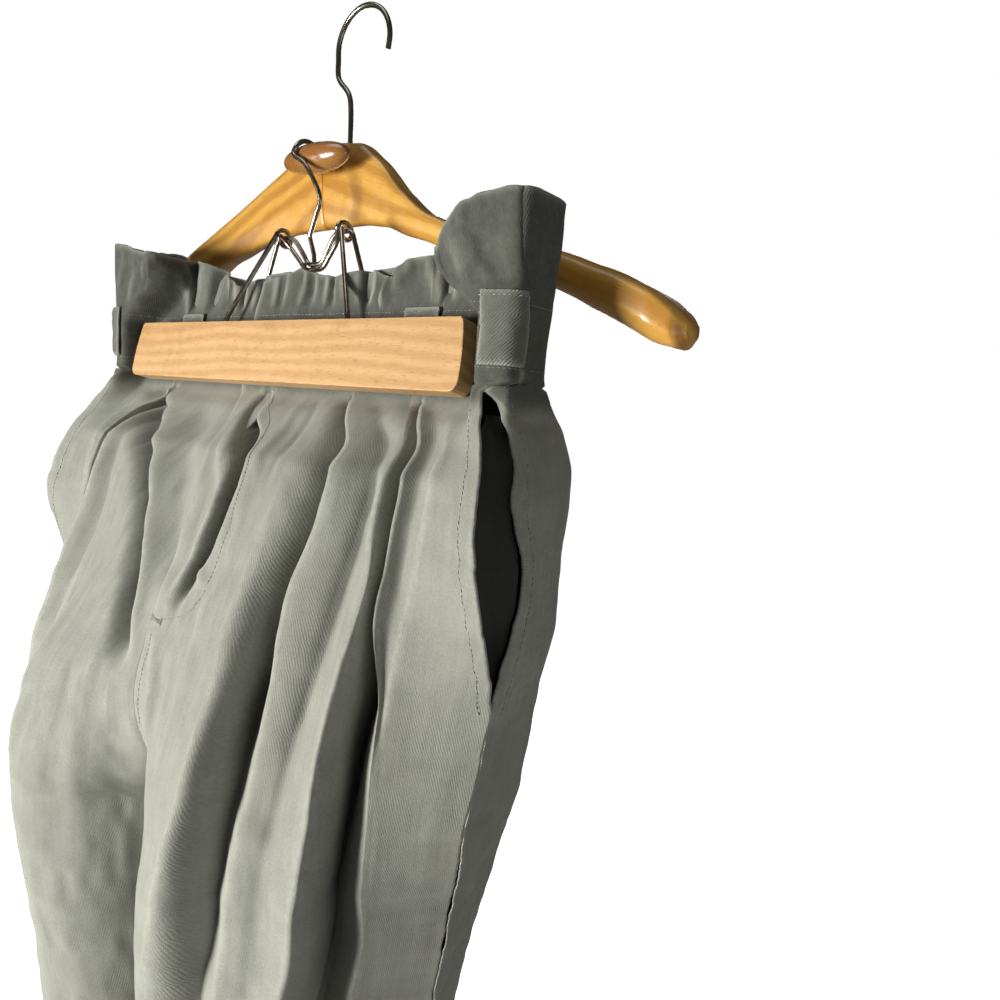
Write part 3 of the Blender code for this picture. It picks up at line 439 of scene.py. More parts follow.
def frontOffsets(side, drops):
    # how far each point of a front stands out of the section, and its place along it
    names = foldX[0][1:]
    lines, outs = [], []
    for drop in drops:
        section = sectionAt(drop)
        begin = 0.0 if section["cut"] else form["seamGap"] / 2
        if side > 0 and drop < form["flyEnd"]:
            begin = -float(readTable(flyReach, "reach", drop))
        end = section["seam"] - form["seamGap"] / 2
        if pocketEdges[1][0, 0] < drop < pocketEdges[1][-1, 0]:
            end += float(readTable(pocketEdges, "front", drop))
        at = [frontAt(section, readTable(foldX, name, drop)) for name in names]
        at[-1] = min(at[-1], 0.55 * at[-2] + 0.45 * end)
        lines.append([begin] + at + [end])
        outs.append([0.0] + [float(readTable(foldOut, name, drop)) for name in names[:-1]] + [0.0, 0.0])
    lines, outs = np.array(lines), np.array(outs)
    if side < 0:
        outs *= form["rightFolds"]
        outs[:, 1:4] *= smooth((np.asarray(drops) - 0.150) / 0.080)[:, None]
    place, index, part = spread(lines, (74, 18, 7, 8, 10, 12, 6, 5, 6, 8, 20))
    shape = np.repeat(smooth(part)[None], len(drops), axis=0)
    # the first valley is a sharp crease at the top and opens into a soft one, the second stays sharp
    opened = smooth((np.asarray(drops) - 0.140) / 0.05)[:, None]
    lower = smooth((np.asarray(drops) - 0.25) / 0.15)[:, None]
    bends = (part ** 2.0 + (shape - part ** 2.0) * lower, part ** 2.3,
             part ** 0.8 + (shape - part ** 0.8) * opened, part ** 1.7,
             shape + (part ** 1.7 - shape) * opened, part ** (1.9 - 0.75 * opened), part ** 0.8,
             1 - (1 - part) ** 1.8, part ** 1.4, 1 - (1 - part) ** 2.0)
    for stretch, bend in enumerate(bends):
        shape = np.where(index == stretch, bend, shape)
    out = outs[:, index] + (outs[:, index + 1] - outs[:, index]) * shape
    return place, out, index


def backOffsets(side, drops):
    lines = []
    for drop in drops:
        section = sectionAt(drop)
        end = section["length"] - (0.0 if section["cut"] else form["seamGap"] / 2)
        turn = float(backAt(section, readTable(foldX, "turn", drop)))
        start = section["seam"] + form["seamGap"] / 2
        if pocketEdges[1][0, 0] < drop < pocketEdges[1][-1, 0]:
            start += float(readTable(pocketEdges, "back", drop))
        lines.append([start, turn, end])
    place, index, _ = spread(np.array(lines), (26, 74))
    return place, np.zeros(place.shape), index


def standForward(points, place, drops, index, isFront):
    # the side edge stands off the leg, and from the last fold the front is stretched to it
    stands = readTable(standOff, "front", drops)
    if not isFront:
        stands = np.where(drops > pocketEdges[1][-1, 0], stands, readTable(standOff, "back", drops))

    def stretched(row, fold, tight, away):
        line = int(np.nonzero(index == fold)[0][0])
        part = np.clip((place[row] - place[row, line]) / (place[row, -1] - place[row, line]), 0, 1)
        moved = points[row] + part[:, None] * away
        straight = moved[line] + (moved[-1] - moved[line]) * part[:, None]
        return moved + (straight - moved) * (part > 0)[:, None] * tight * smooth(stands[row] / 0.02)

    for row in np.nonzero(stands > 0)[0]:
        away = np.array((*form["standWay"], 0.0)) * stands[row]
        if isFront:
            # lower down the whole side of the front is one flat stretch
            lower = smooth((drops[row] - 0.180) / 0.07)
            points[row] = stretched(row, 9, 0.7, away) * (1 - lower) + stretched(row, 7, 0.9, away) * lower
        else:
            line = int(np.nonzero(index == 1)[0][0])
            part = (place[row, :line] - place[row, 0]) / (place[row, line] - place[row, 0])
            points[row, :line] += ((1 - part) ** 1.6)[:, None] * away


def panelGrid(side, isFront):
    # the outer face of a panel as rows of points, with what the materials need to know
    drops = np.r_[fineFrill, panelRows[1:]]
    place, out, index = (frontOffsets if isFront else backOffsets)(side, drops)
    x, y, nx, ny = (np.zeros(place.shape) for _ in range(4))
    seam = np.zeros((len(drops), 1))
    for row, drop in enumerate(drops):
        section = sectionAt(drop)
        x[row], y[row], nx[row], ny[row] = onSection(section, place[row])
        seam[row] = section["seam"]
    drop = np.repeat(drops[:, None], place.shape[1], axis=1)
    beside = place - seam
    seed = (3 if side > 0 else 11) + (0 if isFront else 20)
    scale = 1.0 if side > 0 else form["rightFolds"]
    free = 1 - held(drop, x)
    out = out * np.where(held(drop, x) > 0.5, 0.5, 1.0)
    upper = smooth(-drop / 0.05)
    under = smooth((drop - 0.048) / 0.02)
    if isFront:
        seamed = (1 - smooth(place / 0.012)) * smooth((drop - form["flyEnd"] + 0.010) / 0.015)
        out += creased(frontCreases + (leftCreases if side > 0 else rightCreases), drop, x) * (1 - seamed)
    else:
        out += scale * creased(backCreases, drop, x)
    folded = out.copy()
    if not isFront:
        fading = np.exp(-np.maximum(drop - 0.05, 0) / 0.06)
        out += 0.0034 * fading * under * softNoise(beside / 0.011, drop / 0.16, seed + 1)
    out += scale * creased(sideCreases, drop, beside) * smooth((0.09 - np.abs(beside)) / 0.03)
    fromEnd = np.abs(beside)
    calm = np.where(isFront & (np.abs(x) < 0.066), 0.55, 1.0) * (1 - 0.55 * smooth((0.06 - fromEnd) / 0.02))
    knee = np.exp(-((drop - 0.60) / 0.13) ** 2)
    fromStart = place - place[:, :1] if isFront else place[:, -1:] - place
    # the height of each kind of unevenness, its pattern's two coordinates, and where it shows
    kinds = (
        # gathers of the frill: broad ones, and short ones under its turned top
        (0.0044, beside / 0.013, drop / 0.05, calm * upper),
        (0.0028, beside / 0.0046, drop / 0.022, calm * upper),
        # soft streaks of worn twill, and slow unevenness lower down
        (0.0007, beside / 0.010, drop / 0.075, under),
        (0.0012, beside / 0.028, drop / 0.16, under * smooth((drop - 0.08) / 0.1)),
        (0.0005, beside / 0.006, drop / 0.010, under),
        (0.0016, beside / 0.045, (drop + 0.3 * beside) / 0.034, knee),
        # puckers along the seams
        (0.0006, drop / 0.0075, fromEnd / 0.02, np.exp(-fromEnd / 0.006) * (drop > 0.03)),
        (0.0007, drop / 0.0085, fromStart / 0.02, np.exp(-fromStart / 0.008) * under),
    )
    for number, (height, u, v, where) in enumerate(kinds, 2):
        out += height * where * softNoise(u, v, seed + number)
    # left and right meet edge to edge at the back, and below the fly
    meetFrom = form["flyEnd"] if isFront else 0.050
    still = np.exp(-(fromStart / 0.004) ** 2) * smooth((drop - meetFrom) / 0.02)
    out = folded + (out - folded) * (1 - still)
    underLoop = between(beside, -0.027, 0.002, 0.003, 0.002) * between(drop, -0.008, 0.003, 0.035, 0.003)
    out = out * free * (1 - 0.8 * underLoop)
    lift = np.zeros(place.shape)
    if isFront and side > 0:
        ends = smooth((form["flyEnd"] + 0.020 - drop) / 0.020)
        lift = form["lap"] * ends * smooth((0.016 - place) / 0.012)
        lift += 0.0004 * ends * between(fromStart, 0.001, 0.003, 0.012, 0.004) * free
    points = np.stack((x + nx * (out + lift), y + ny * (out + lift), form["waist"] - drop), axis=2)
    standForward(points, place, drops, index, isFront)
    keep = {"drop": drop, "place": place, "beside": beside, "x": x + nx * out, "out": out}
    # the frill's rows end at its own top edge, which is higher or lower from place to place
    count = len(fineFrill)
    level = int(np.argmin(np.abs(fineFrill + 0.030)))
    name = ("left" if side > 0 else "right") if isFront else "back"
    tops = readTable(frill, name, np.abs(x[level]))
    tops = tops + 0.0007 * softNoise(place[level] / 0.006, 0.5, seed + 10)
    steps = np.linspace(1.0, 0.0, frillSteps, endpoint=False) ** 0.9
    wanted = -np.outer(steps, tops)

    def refit(grid):
        made = np.empty((len(steps),) + grid.shape[1:])
        for spot in np.ndindex(grid.shape[1:]):
            column = grid[(slice(count), *spot)]
            made[(slice(None), *spot)] = np.interp(wanted[:, spot[0]], fineFrill, column)
        return np.concatenate((made, grid[count - 1:]))

    points = refit(points)
    keep = {name: refit(grid) for name, grid in keep.items()}
    keep["index"] = index
    return points, keep


def gridNormals(points):
    across = np.gradient(points, axis=1)
    down = np.gradient(points, axis=0)
    normals = np.cross(across, down)
    return normals / np.maximum(np.linalg.norm(normals, axis=2, keepdims=True), 1e-9)


def flatMap(points, reference):
    # metres across and down the cloth
    step = np.linalg.norm(np.diff(points, axis=1), axis=2)
    across = np.cumsum(np.pad(step, ((0, 0), (1, 0))), axis=1)
    across -= across[:, reference:reference + 1]
    rise = np.linalg.norm(np.diff(points, axis=0), axis=2).mean(axis=1)
    down = np.r_[0.0, np.cumsum(rise)]
    return across, np.repeat(down[:, None], points.shape[1], axis=1)


def blurred(grid, rounds, axis):
    grid = np.moveaxis(grid, axis, 0)
    for _ in range(rounds):
        grid = 0.25 * np.r_[grid[:1], grid[:-1]] + 0.5 * grid + 0.25 * np.r_[grid[1:], grid[-1:]]
    return np.moveaxis(grid, 0, axis)


def addObject(name, data):
    thing = bpy.data.objects.new(name, data)
    bpy.context.scene.collection.objects.link(thing)
    return thing


def finished(mesh, material, calculate=False):
    # the outside has to face out, so the whole piece is turned if it doesn't
    bm = bmesh.new()
    bm.from_mesh(mesh)
    if calculate:
        bmesh.ops.recalc_face_normals(bm, faces=bm.faces)
    if bm.calc_volume(signed=True) < 0:
        bmesh.ops.reverse_faces(bm, faces=bm.faces)
    bm.to_mesh(mesh)
    bm.free()
    mesh.shade_smooth()
    mesh.materials.append(material)
    return addObject(mesh.name, mesh)


def clothShell(name, outer, normals, thickness, across, down, wear, side, material):
    # a closed thin sheet: the outer face, the inner face, and a rounded rim
    rows, columns = outer.shape[:2]
    count = rows * columns
    thickness = np.broadcast_to(thickness, (rows, columns))
    grid = np.arange(count).reshape(rows, columns)
    ring = np.r_[grid[0], grid[1:, -1], grid[-1, -2::-1], grid[-2:0:-1, 0]]
    r, c = np.divmod(ring, columns)
    out, half = normals[r, c], thickness[r, c, None] / 2
    away = outer[r, c] - outer[np.clip(r, 1, rows - 2), np.clip(c, 1, columns - 2)]
    away = away - out * (away * out).sum(axis=1, keepdims=True)
    away = away / np.maximum(np.linalg.norm(away, axis=1, keepdims=True), 1e-9)
    inner = outer - normals * thickness[:, :, None]
    middle = outer[r, c] + (0.7 * away - out) * half
    vertices = np.concatenate((outer.reshape(-1, 3), inner.reshape(-1, 3), middle))
    vertices = vertices * (side, 1.0, 1.0) + origin
    a, b = grid[:-1, :-1].ravel(), grid[:-1, 1:].ravel()
    c, d = grid[1:, 1:].ravel(), grid[1:, :-1].ravel()
    mid = 2 * count + np.arange(len(ring))
    ringNext, midNext = np.roll(ring, -1), np.roll(mid, -1)
    faces = np.concatenate([np.stack(four, 1) for four in (
        (a, b, c, d), (a + count, d + count, c + count, b + count), (ringNext, ring, mid, midNext),
        (midNext, mid, ring + count, ringNext + count))])
    u, v = (np.r_[flat.ravel(), flat.ravel(), flat.ravel()[ring]] for flat in (across, down))
    # the values carry wear, painted shade and painted light, and the rim counts as fully worn
    wearAndPaintedLightValues = np.r_[wear.ravel(), wear.ravel() * 0.3, np.ones(len(ring))]
    mesh = bpy.data.meshes.new(name)
    mesh.from_pydata(vertices.tolist(), [], faces.tolist())
    corners = np.empty(len(mesh.loops), int)
    mesh.loops.foreach_get("vertex_index", corners)
    layer = mesh.uv_layers.new(name="flatCloth")
    layer.data.foreach_set("uv", np.stack((u[corners], v[corners]), 1).ravel())
    paintedLightAndWear = mesh.attributes.new("wear", "FLOAT", "POINT")
    paintedLightAndWear.data.foreach_set("value", wearAndPaintedLightValues)
    mesh.update()
    return finished(mesh, material)


def squareEdges(points, normals, isFront, keep):
    # neighbours meet face to face over the centre, the crotch and the side seam
    centre, seamSide = (0, -1) if isFront else (-1, 0)
    for row in range(len(points)):
        drop = keep["drop"][row, centre]
        normal = normals[row, centre]
        if abs(drop - form["crotch"]) < 0.0015:
            normal = np.array((-1.0, 0.0, -1.0))
        elif drop < form["crotch"]:
            normal = np.array((0.0, normal[1], normal[2]))
        else:
            normal = np.array((-1.0, 0.0, 0.0))
        normals[row, centre] = normal / np.linalg.norm(normal)
        drop = keep["drop"][row, seamSide]
        if not pocketEdges[1][0, 0] < drop < pocketEdges[1][-1, 0]:
            section = sectionAt(round(float(drop), 4))
            _, _, nx, ny = onSection(section, section["seam"])
            normals[row, seamSide] = (float(nx), float(ny), 0.0)
    return normals


panelStore = {}


def buildPanel(name, side, isFront, material):
    points, keep = panelGrid(side, isFront)
    drop = keep["drop"]
    normals = gridNormals(points)
    if normals[:, :, 1].mean() * (1 if isFront else -1) > 0:
        normals = -normals
    normals = squareEdges(points, normals, isFront, keep)
    across, down = flatMap(points, 0 if isFront else points.shape[1] - 1)
    # turned edges are two layers thick: the frill's top, the hem and the pocket
    turned = np.maximum(smooth((drop - form["hem"] + form["hemTurn"]) / 0.003),
                        smooth((0.002 - drop) / 0.003))
    fromEnd = np.abs(across - (across[:, -1:] if isFront else across[:, :1]))
    beside = (drop > pocket["from"]) * (drop < pocket["to"])
    turned = np.maximum(turned, smooth((pocket["turn"] - fromEnd) / 0.001) * beside)
    thickness = form["cloth"] + (form["hemCloth"] - form["cloth"]) * turned
    # ridges of the folds come out lighter as wear, and hollows darker as painted shade
    bulge = blurred(keep["out"], 3, 1)
    curve = -np.gradient(np.gradient(bulge, axis=1), axis=1)
    pitch = np.maximum(np.gradient(across, axis=1), 0.0004)
    wear = np.clip(curve / pitch ** 2 / 180.0, -0.6, 1.0)
    wear = np.clip(blurred(wear, 2, 0), -0.6, 1.0)
    edge = np.exp(-fromEnd / 0.0016) * (drop > 0.03)
    edge = np.maximum(edge, 0.8 * np.exp(-np.abs(drop - drop[:1]) / 0.0014))
    edge = np.maximum(edge, 0.9 * np.exp(-np.abs(drop - form["hem"]) / 0.002))
    if isFront and side > 0:
        fly = np.exp(-np.abs(across - across[:, :1]) / 0.002) * (drop < form["flyEnd"])
        edge = np.maximum(edge, fly)
    wear = np.maximum(wear, edge)
    if not isFront:
        # painted light: the cloth that stands out behind the pocket is made lighter, as if lit from the side
        paintedLightAndWear = between(drop, 0.075, 0.03, 0.215, 0.03)
        wear = np.maximum(wear, 0.75 * paintedLightAndWear * smooth((0.034 - np.abs(keep["beside"])) / 0.012))
    # painted shade: the insides of the pleats, of the fly and of the long right fold are made darker in
    # colour
    if isFront:
        paintedCreaseShade = np.zeros(wear.shape)
        for line, (top, end, width, amount) in pleatShade.items():
            column = int(np.nonzero(keep["index"] == foldX[0].index(line))[0][0])
            along = between(drop, top, 0.006, end, 0.05)
            if side < 0:
                along = along * smooth((drop - 0.150) / 0.080)
            deeper = across - across[:, column:column + 1]
            paintedCreaseShade += amount * along * np.exp(-(deeper / np.where(deeper < 0, width, 0.0020)) ** 2)
        for width, height, *path in leftCreases if side > 0 else rightCreases:
            if height < -10:
                paintedShade = creased([(width, 750, *path)], drop, keep["x"])
                paintedCreaseShade += paintedShade * (1 - smooth((drop - form["flyEnd"] + 0.006) / 0.02))
        wear = wear - np.minimum(paintedCreaseShade, 0.9)
    # painted shade: the frill and the waist, folded away from the light, are made darker in colour
    wear = wear - 0.9 * smooth((0.055 - drop) / 0.012)
    # the weave runs straight down from the side seam, whatever the depth of the folds
    piece = clothShell(name, points, normals, thickness, keep["beside"], down, wear, side, material)
    panelStore[name] = {"points": points, "normals": normals, "side": side, **keep}
    return piece


def newMaterial(name, **surface):
    # the surface's values are named as its inputs, with _ for a space
    material = bpy.data.materials.new(name)
    material.use_nodes = True
    tree = material.node_tree
    shader = tree.nodes["Principled BSDF"]
    for key, value in surface.items():
        shader.inputs[key.replace("_", " ")].default_value = value
    return material, tree, shader, put(tree, "ShaderNodeTexCoord").outputs["Object"]


def put(tree, kind, settings=None, **inputs):
    # one node with its settings, values and links; a value that is a socket is linked
    node = tree.nodes.new(kind)
    for key, value in (settings or {}).items():
        setattr(node, key, value)
    for key, value in inputs.items():
        socket = node.inputs[int(key[1:])] if key[0] == "i" and key[1:].isdigit() else node.inputs[key]
        if isinstance(value, bpy.types.NodeSocket):
            tree.links.new(value, socket)
        else:
            socket.default_value = value
    return node


def maths(tree, operation, a, b=0.0, c=0.0):
    return put(tree, "ShaderNodeMath", {"operation": operation}, i0=a, i1=b, i2=c).outputs[0]


def blendColor(tree, kind, factor, a, b):
    node = put(tree, "ShaderNodeMix", {"data_type": "RGBA", "blend_type": kind}, i0=factor, i6=a, i7=b)
    return node.outputs[2]


def ramp(tree, value, low, high, toLow=0.0, toHigh=1.0):
    node = put(tree, "ShaderNodeMapRange", {"interpolation_type": "SMOOTHSTEP"}, i0=value, i1=low,
               i2=high, i3=toLow, i4=toHigh)
    return node.outputs[0]


def wave(tree, phase):
    return maths(tree, "SINE", maths(tree, "MULTIPLY", phase, 6.2832))


def noise(tree, vector, scale, detail=3.0, rough=0.55):
    return put(tree, "ShaderNodeTexNoise", None, Vector=vector, Scale=scale, Detail=detail,
               Roughness=rough).outputs["Fac"]


def scaled(tree, vector, scale=(1, 1, 1), turn=(0, 0, 0)):
    return put(tree, "ShaderNodeMapping", None, Vector=vector, Scale=scale, Rotation=turn).outputs[0]


def paint(tree, shader, color, height, strength, distance):
    bump = put(tree, "ShaderNodeBump", None, Height=height, Strength=strength, Distance=distance)
    tree.links.new(color, shader.inputs["Base Color"])
    tree.links.new(bump.outputs[0], shader.inputs["Normal"])


def newGroup(name, treeKind, inputs, outputs):
    # an input is given as its default number, or as the kind of its socket
    tree = bpy.data.node_groups.new(name, treeKind + "NodeTree")
    for label, value in inputs.items():
        kind = value if isinstance(value, str) else {float: "Float", int: "Int"}[type(value)]
        socket = tree.interface.new_socket(label, in_out="INPUT", socket_type="NodeSocket" + kind)
        if kind != value:
            socket.default_value = value
    for label in outputs:
        kind = "Geometry" if label == "Geometry" else "Float"
        tree.interface.new_socket(label, in_out="OUTPUT", socket_type="NodeSocket" + kind)
    return tree, tree.nodes.new("NodeGroupInput").outputs, tree.nodes.new("NodeGroupOutput").inputs


def useGroup(tree, group, **inputs):
    return put(tree, "ShaderNodeGroup", {"node_tree": group}, **inputs).outputs


def makeTwillGroup():
    # diagonal ribs over crossing yarns, in metres along the cloth
    tree, given, result = newGroup(
        "twill", "Shader", {"Cloth": "Vector", "Ribs": 800.0, "Lean": 0.8, "Clearness": 0.5},
        ("Height", "Shade"))
    parts = put(tree, "ShaderNodeSeparateXYZ", None, Vector=given["Cloth"]).outputs
    along = maths(tree, "MULTIPLY", parts[1], given["Lean"])
    across = maths(tree, "ADD", parts[0], along)
    wander = noise(tree, scaled(tree, given["Cloth"], (1, 0.3, 1)), 160.0, 2.0)
    phase = maths(tree, "ADD", maths(tree, "MULTIPLY", across, given["Ribs"]),
                  maths(tree, "MULTIPLY", wander, 0.9))
    rib = wave(tree, phase)
    yarn = noise(tree, scaled(tree, given["Cloth"], (1, 0.18, 1)), 3000.0, 1.0)
    weft = noise(tree, scaled(tree, given["Cloth"], (0.2, 1, 1)), 2600.0, 1.0)
    fuzz = maths(tree, "ADD", yarn, weft)
    # the ribs are clearer in some places than in others
    patch = noise(tree, given["Cloth"], 26.0, 2.0)
    clear = maths(tree, "MULTIPLY", ramp(tree, patch, 0.30, 0.62, 0.35, 1.0), given["Clearness"])
    height = maths(tree, "ADD", maths(tree, "MULTIPLY", rib, clear), fuzz)
    shade = maths(tree, "MULTIPLY_ADD", rib, maths(tree, "MULTIPLY", clear, 0.10), 0.5)
    shade = maths(tree, "ADD", shade, maths(tree, "MULTIPLY_ADD", fuzz, 0.22, -0.22))
    tree.links.new(height, result["Height"])
    tree.links.new(shade, result["Shade"])
    return tree


def makeWashGroup():
    # cloth that has been dyed, washed and worn: mottled, streaked down the grain, rubbed at edges
    tree, given, result = newGroup(
        "washedCloth", "Shader", {"Cloth": "Vector", "Place": "Vector", "Wear": 0.0, "Streaks": 0.5},
        ("Light", "Warm"))
    mottle = noise(tree, given["Place"], 55.0, 4.0, 0.6)
    broad = noise(tree, given["Place"], 9.0, 3.0)
    streak = noise(tree, scaled(tree, given["Cloth"], (1, 0.06, 1)), 420.0, 3.0, 0.6)
    light = maths(tree, "MULTIPLY_ADD", mottle, 0.34, -0.17)
    light = maths(tree, "ADD", light, maths(tree, "MULTIPLY_ADD", broad, 0.30, -0.15))
    streaked = maths(tree, "MULTIPLY", maths(tree, "SUBTRACT", streak, 0.5), given["Streaks"])
    light = maths(tree, "ADD", light, streaked)
    # the wear input carries real wear and painted light and shade: above nought it lightens the cloth, below
    # nought it darkens it
    scuff = ramp(tree, noise(tree, given["Place"], 240.0, 3.0), 0.35, 0.65, 0.35, 1.0)
    wearAndPaintedLightTone = maths(tree, "MULTIPLY", maths(tree, "MULTIPLY", given["Wear"], scuff), 0.42)
    light = maths(tree, "ADD", light, wearAndPaintedLightTone)
    tree.links.new(light, result["Light"])
    tree.links.new(ramp(tree, noise(tree, given["Place"], 14.0, 2.0), 0.35, 0.65), result["Warm"])
    return tree


def makeWoodGroup():
    # long grain with darker late wood, pores and short flecks, along the first coordinate
    tree, given, result = newGroup(
        "woodGrain", "Shader", {"Board": "Vector", "Bands": 90.0, "Flecks": 1.0},
        ("Grain", "Fleck", "Height"))
    long = scaled(tree, given["Board"], (0.06, 1, 1))
    bent = noise(tree, scaled(tree, given["Board"], (0.35, 1, 1)), 14.0, 3.0)
    parts = put(tree, "ShaderNodeSeparateXYZ", None, Vector=given["Board"]).outputs
    level = maths(tree, "ADD", parts[2], maths(tree, "MULTIPLY", parts[1], 0.6))
    rings = maths(tree, "MULTIPLY_ADD", level, given["Bands"], maths(tree, "MULTIPLY", bent, 3.2))
    band = maths(tree, "MULTIPLY_ADD", wave(tree, rings), 0.5, 0.5)
    fibre = noise(tree, long, 900.0, 3.0, 0.65)
    pores = noise(tree, scaled(tree, given["Board"], (0.14, 1, 1)), 1500.0, 1.0)
    grain = maths(tree, "ADD", maths(tree, "MULTIPLY", band, 0.45), maths(tree, "MULTIPLY", fibre, 0.55))
    fleck = maths(tree, "MULTIPLY", ramp(tree, pores, 0.60, 0.72), given["Flecks"])
    tree.links.new(grain, result["Grain"])
    tree.links.new(fleck, result["Fleck"])
    tree.links.new(maths(tree, "SUBTRACT", fibre, fleck), result["Height"])
    return tree


twillGroup, washGroup, woodGroup = makeTwillGroup(), makeWashGroup(), makeWoodGroup()

clothLook = {
    "dark": (0.165, 0.169, 0.142), "light": (0.350, 0.358, 0.308), "warm": (0.250, 0.243, 0.203),
    "paintedShade": (0.30, 0.31, 0.30, 1), "sheen": 0.14,
}


def makeClothMaterial(name, ribs, lean, clearness, streaks=0.35, darker=1.0):
    material, tree, shader, place = newMaterial(name, Roughness=0.86, Sheen_Weight=clothLook["sheen"],
                                                Sheen_Roughness=0.45, Specular_IOR_Level=0.25)
    cloth = put(tree, "ShaderNodeUVMap", {"uv_map": "flatCloth"}).outputs[0]
    wear = put(tree, "ShaderNodeAttribute", {"attribute_name": "wear"}).outputs["Fac"]
    twill = useGroup(tree, twillGroup, Cloth=cloth, Ribs=ribs, Lean=lean, Clearness=clearness)
    wash = useGroup(tree, washGroup, Cloth=cloth, Place=place, Wear=wear, Streaks=streaks)
    mix = maths(tree, "ADD", twill["Shade"], wash["Light"])
    # single yarns that took the dye unevenly
    for scale, detail, rough, amount in ((850.0, 3.0, 0.7, 0.9), (60.0, 4.0, 0.6, 0.5)):
        uneven = noise(tree, cloth, scale, detail, rough)
        mix = maths(tree, "ADD", mix, maths(tree, "MULTIPLY_ADD", uneven, amount, -amount / 2))
    mix = put(tree, "ShaderNodeClamp", None, Value=mix).outputs[0]
    dark, light, warm = ((*(c * darker for c in clothLook[key]), 1) for key in ("dark", "light", "warm"))
    color = blendColor(tree, "MIX", mix, dark, light)
    color = blendColor(tree, "MIX", maths(tree, "MULTIPLY", wash["Warm"], 0.22), color, warm)
    # painted shade: where the wear values fall below nought (hollows, pleats, the waist and the frill) the
    # colour is multiplied darker
    paintedShade = put(tree, "ShaderNodeClamp", None, Value=maths(tree, "MULTIPLY", wear, -1.0)).outputs[0]
    color = blendColor(tree, "MULTIPLY", paintedShade, color, clothLook["paintedShade"])
    paint(tree, shader, color, twill["Height"], 0.42, 0.00024)
    return material


def makeWoodMaterial(name, light, dark, fleckColor, bands, flecks, rough, coat, turn=(0, 0, 0)):
    material, tree, shader, place = newMaterial(name, Coat_Weight=coat, Coat_Roughness=0.10)
    board = scaled(tree, place, (1, 1, 1), turn)
    wood = useGroup(tree, woodGroup, Board=board, Bands=bands, Flecks=flecks)
    shade = ramp(tree, wood["Grain"], 0.22, 0.78)
    color = blendColor(tree, "MIX", shade, light, dark)
    broad = ramp(tree, noise(tree, scaled(tree, board, (0.3, 1, 1)), 16.0, 3.0), 0.32, 0.68)
    color = blendColor(tree, "MULTIPLY", maths(tree, "MULTIPLY", broad, 0.4), color, (0.86, 0.72, 0.52, 1))
    color = blendColor(tree, "MIX", maths(tree, "MULTIPLY", wood["Fleck"], 0.55), color, fleckColor)
    grime = ramp(tree, noise(tree, place, 60.0, 5.0, 0.7), 0.56, 0.76)
    color = blendColor(tree, "MULTIPLY", maths(tree, "MULTIPLY", grime, 0.35), color, (0.55, 0.42, 0.30, 1))
    paint(tree, shader, color, wood["Height"], 0.25, 0.0002)
    scuff = ramp(tree, noise(tree, place, 130.0, 4.0), 0.35, 0.7, rough * 0.8, rough * 1.35)
    tree.links.new(scuff, shader.inputs["Roughness"])
    return material


def makeWireMaterial(name, bright, dull):
    material, tree, shader, place = newMaterial(name, Metallic=1.0)
    stain = ramp(tree, noise(tree, place, 45.0, 3.0, 0.5), 0.40, 0.66)
    color = blendColor(tree, "MIX", stain, bright, dull)
    rough = ramp(tree, noise(tree, place, 90.0, 2.0), 0.3, 0.7, 0.20, 0.32)
    tree.links.new(rough, shader.inputs["Roughness"])
    scratch = noise(tree, scaled(tree, place, (1, 1, 0.3)), 1800.0, 2.0)
    paint(tree, shader, color, scratch, 0.03, 0.0001)
    return material


def makeThreadMaterial():
    material, tree, shader, place = newMaterial("thread", Roughness=0.6)
    mix = ramp(tree, noise(tree, place, 210.0, 3.0), 0.35, 0.65)
    color = blendColor(tree, "MIX", mix, (0.16, 0.16, 0.13, 1), (0.40, 0.40, 0.35, 1))
    ply = put(tree, "ShaderNodeTexWave", {"bands_direction": "DIAGONAL"}, Vector=place, Scale=900.0)
    paint(tree, shader, color, ply.outputs["Fac"], 0.3, 0.0001)
    return material


frontCloth = makeClothMaterial("twillFront", 780.0, -0.42, 0.32, 0.50)
backCloth = makeClothMaterial("twillBack", 760.0, 0.62, 1.15, 0.45)
loopCloth = makeClothMaterial("twillLoop", 560.0, 0.95, 2.4, 0.15)
# painted shade: the pocket bag's colour is made near black for the shaded inside of the pocket
pocketCloth = makeClothMaterial("pocketing", 1400.0, 0.0, 0.2, 0.1, 0.16)
thread = makeThreadMaterial()
barWood = makeWoodMaterial("flatBeech", (0.62, 0.385, 0.178, 1), (0.52, 0.308, 0.128, 1),
                           (0.34, 0.16, 0.060, 1), 120.0, 1.0, 0.50, 0.08)
# the grain follows each arm, which slopes its own way
rightArmWood, leftArmWood = (
    makeWoodMaterial("varnishedBeech" + word, (0.72, 0.400, 0.078, 1), (0.50, 0.240, 0.036, 1),
                     (0.16, 0.06, 0.012, 1), 75.0, 0.4, 0.36, 0.22, (0, slope, 0))
    for word, slope in (("Right", 0.42), ("Left", -0.36)))
knobWood = makeWoodMaterial("turnedKnob", (0.52, 0.26, 0.07, 1), (0.33, 0.14, 0.035, 1),
                            (0.14, 0.06, 0.02, 1), 45.0, 0.3, 0.26, 1.0)
pegWood = makeWoodMaterial("peg", (0.34, 0.13, 0.06, 1), (0.20, 0.07, 0.03, 1),
                           (0.10, 0.04, 0.02, 1), 45.0, 0.3, 0.5, 0.2, (0, 0, 1.57))
wireMetal = makeWireMaterial("bronzedWire", (0.40, 0.36, 0.30, 1), (0.20, 0.17, 0.13, 1))
print("materials made")

panels = {}
for name, side, isFront in (("frontLeft", 1, True), ("frontRight", -1, True),
                            ("backLeft", 1, False), ("backRight", -1, False)):
    panels[name] = buildPanel(name, side, isFront, frontCloth if isFront else backCloth)
    print("panel", name)


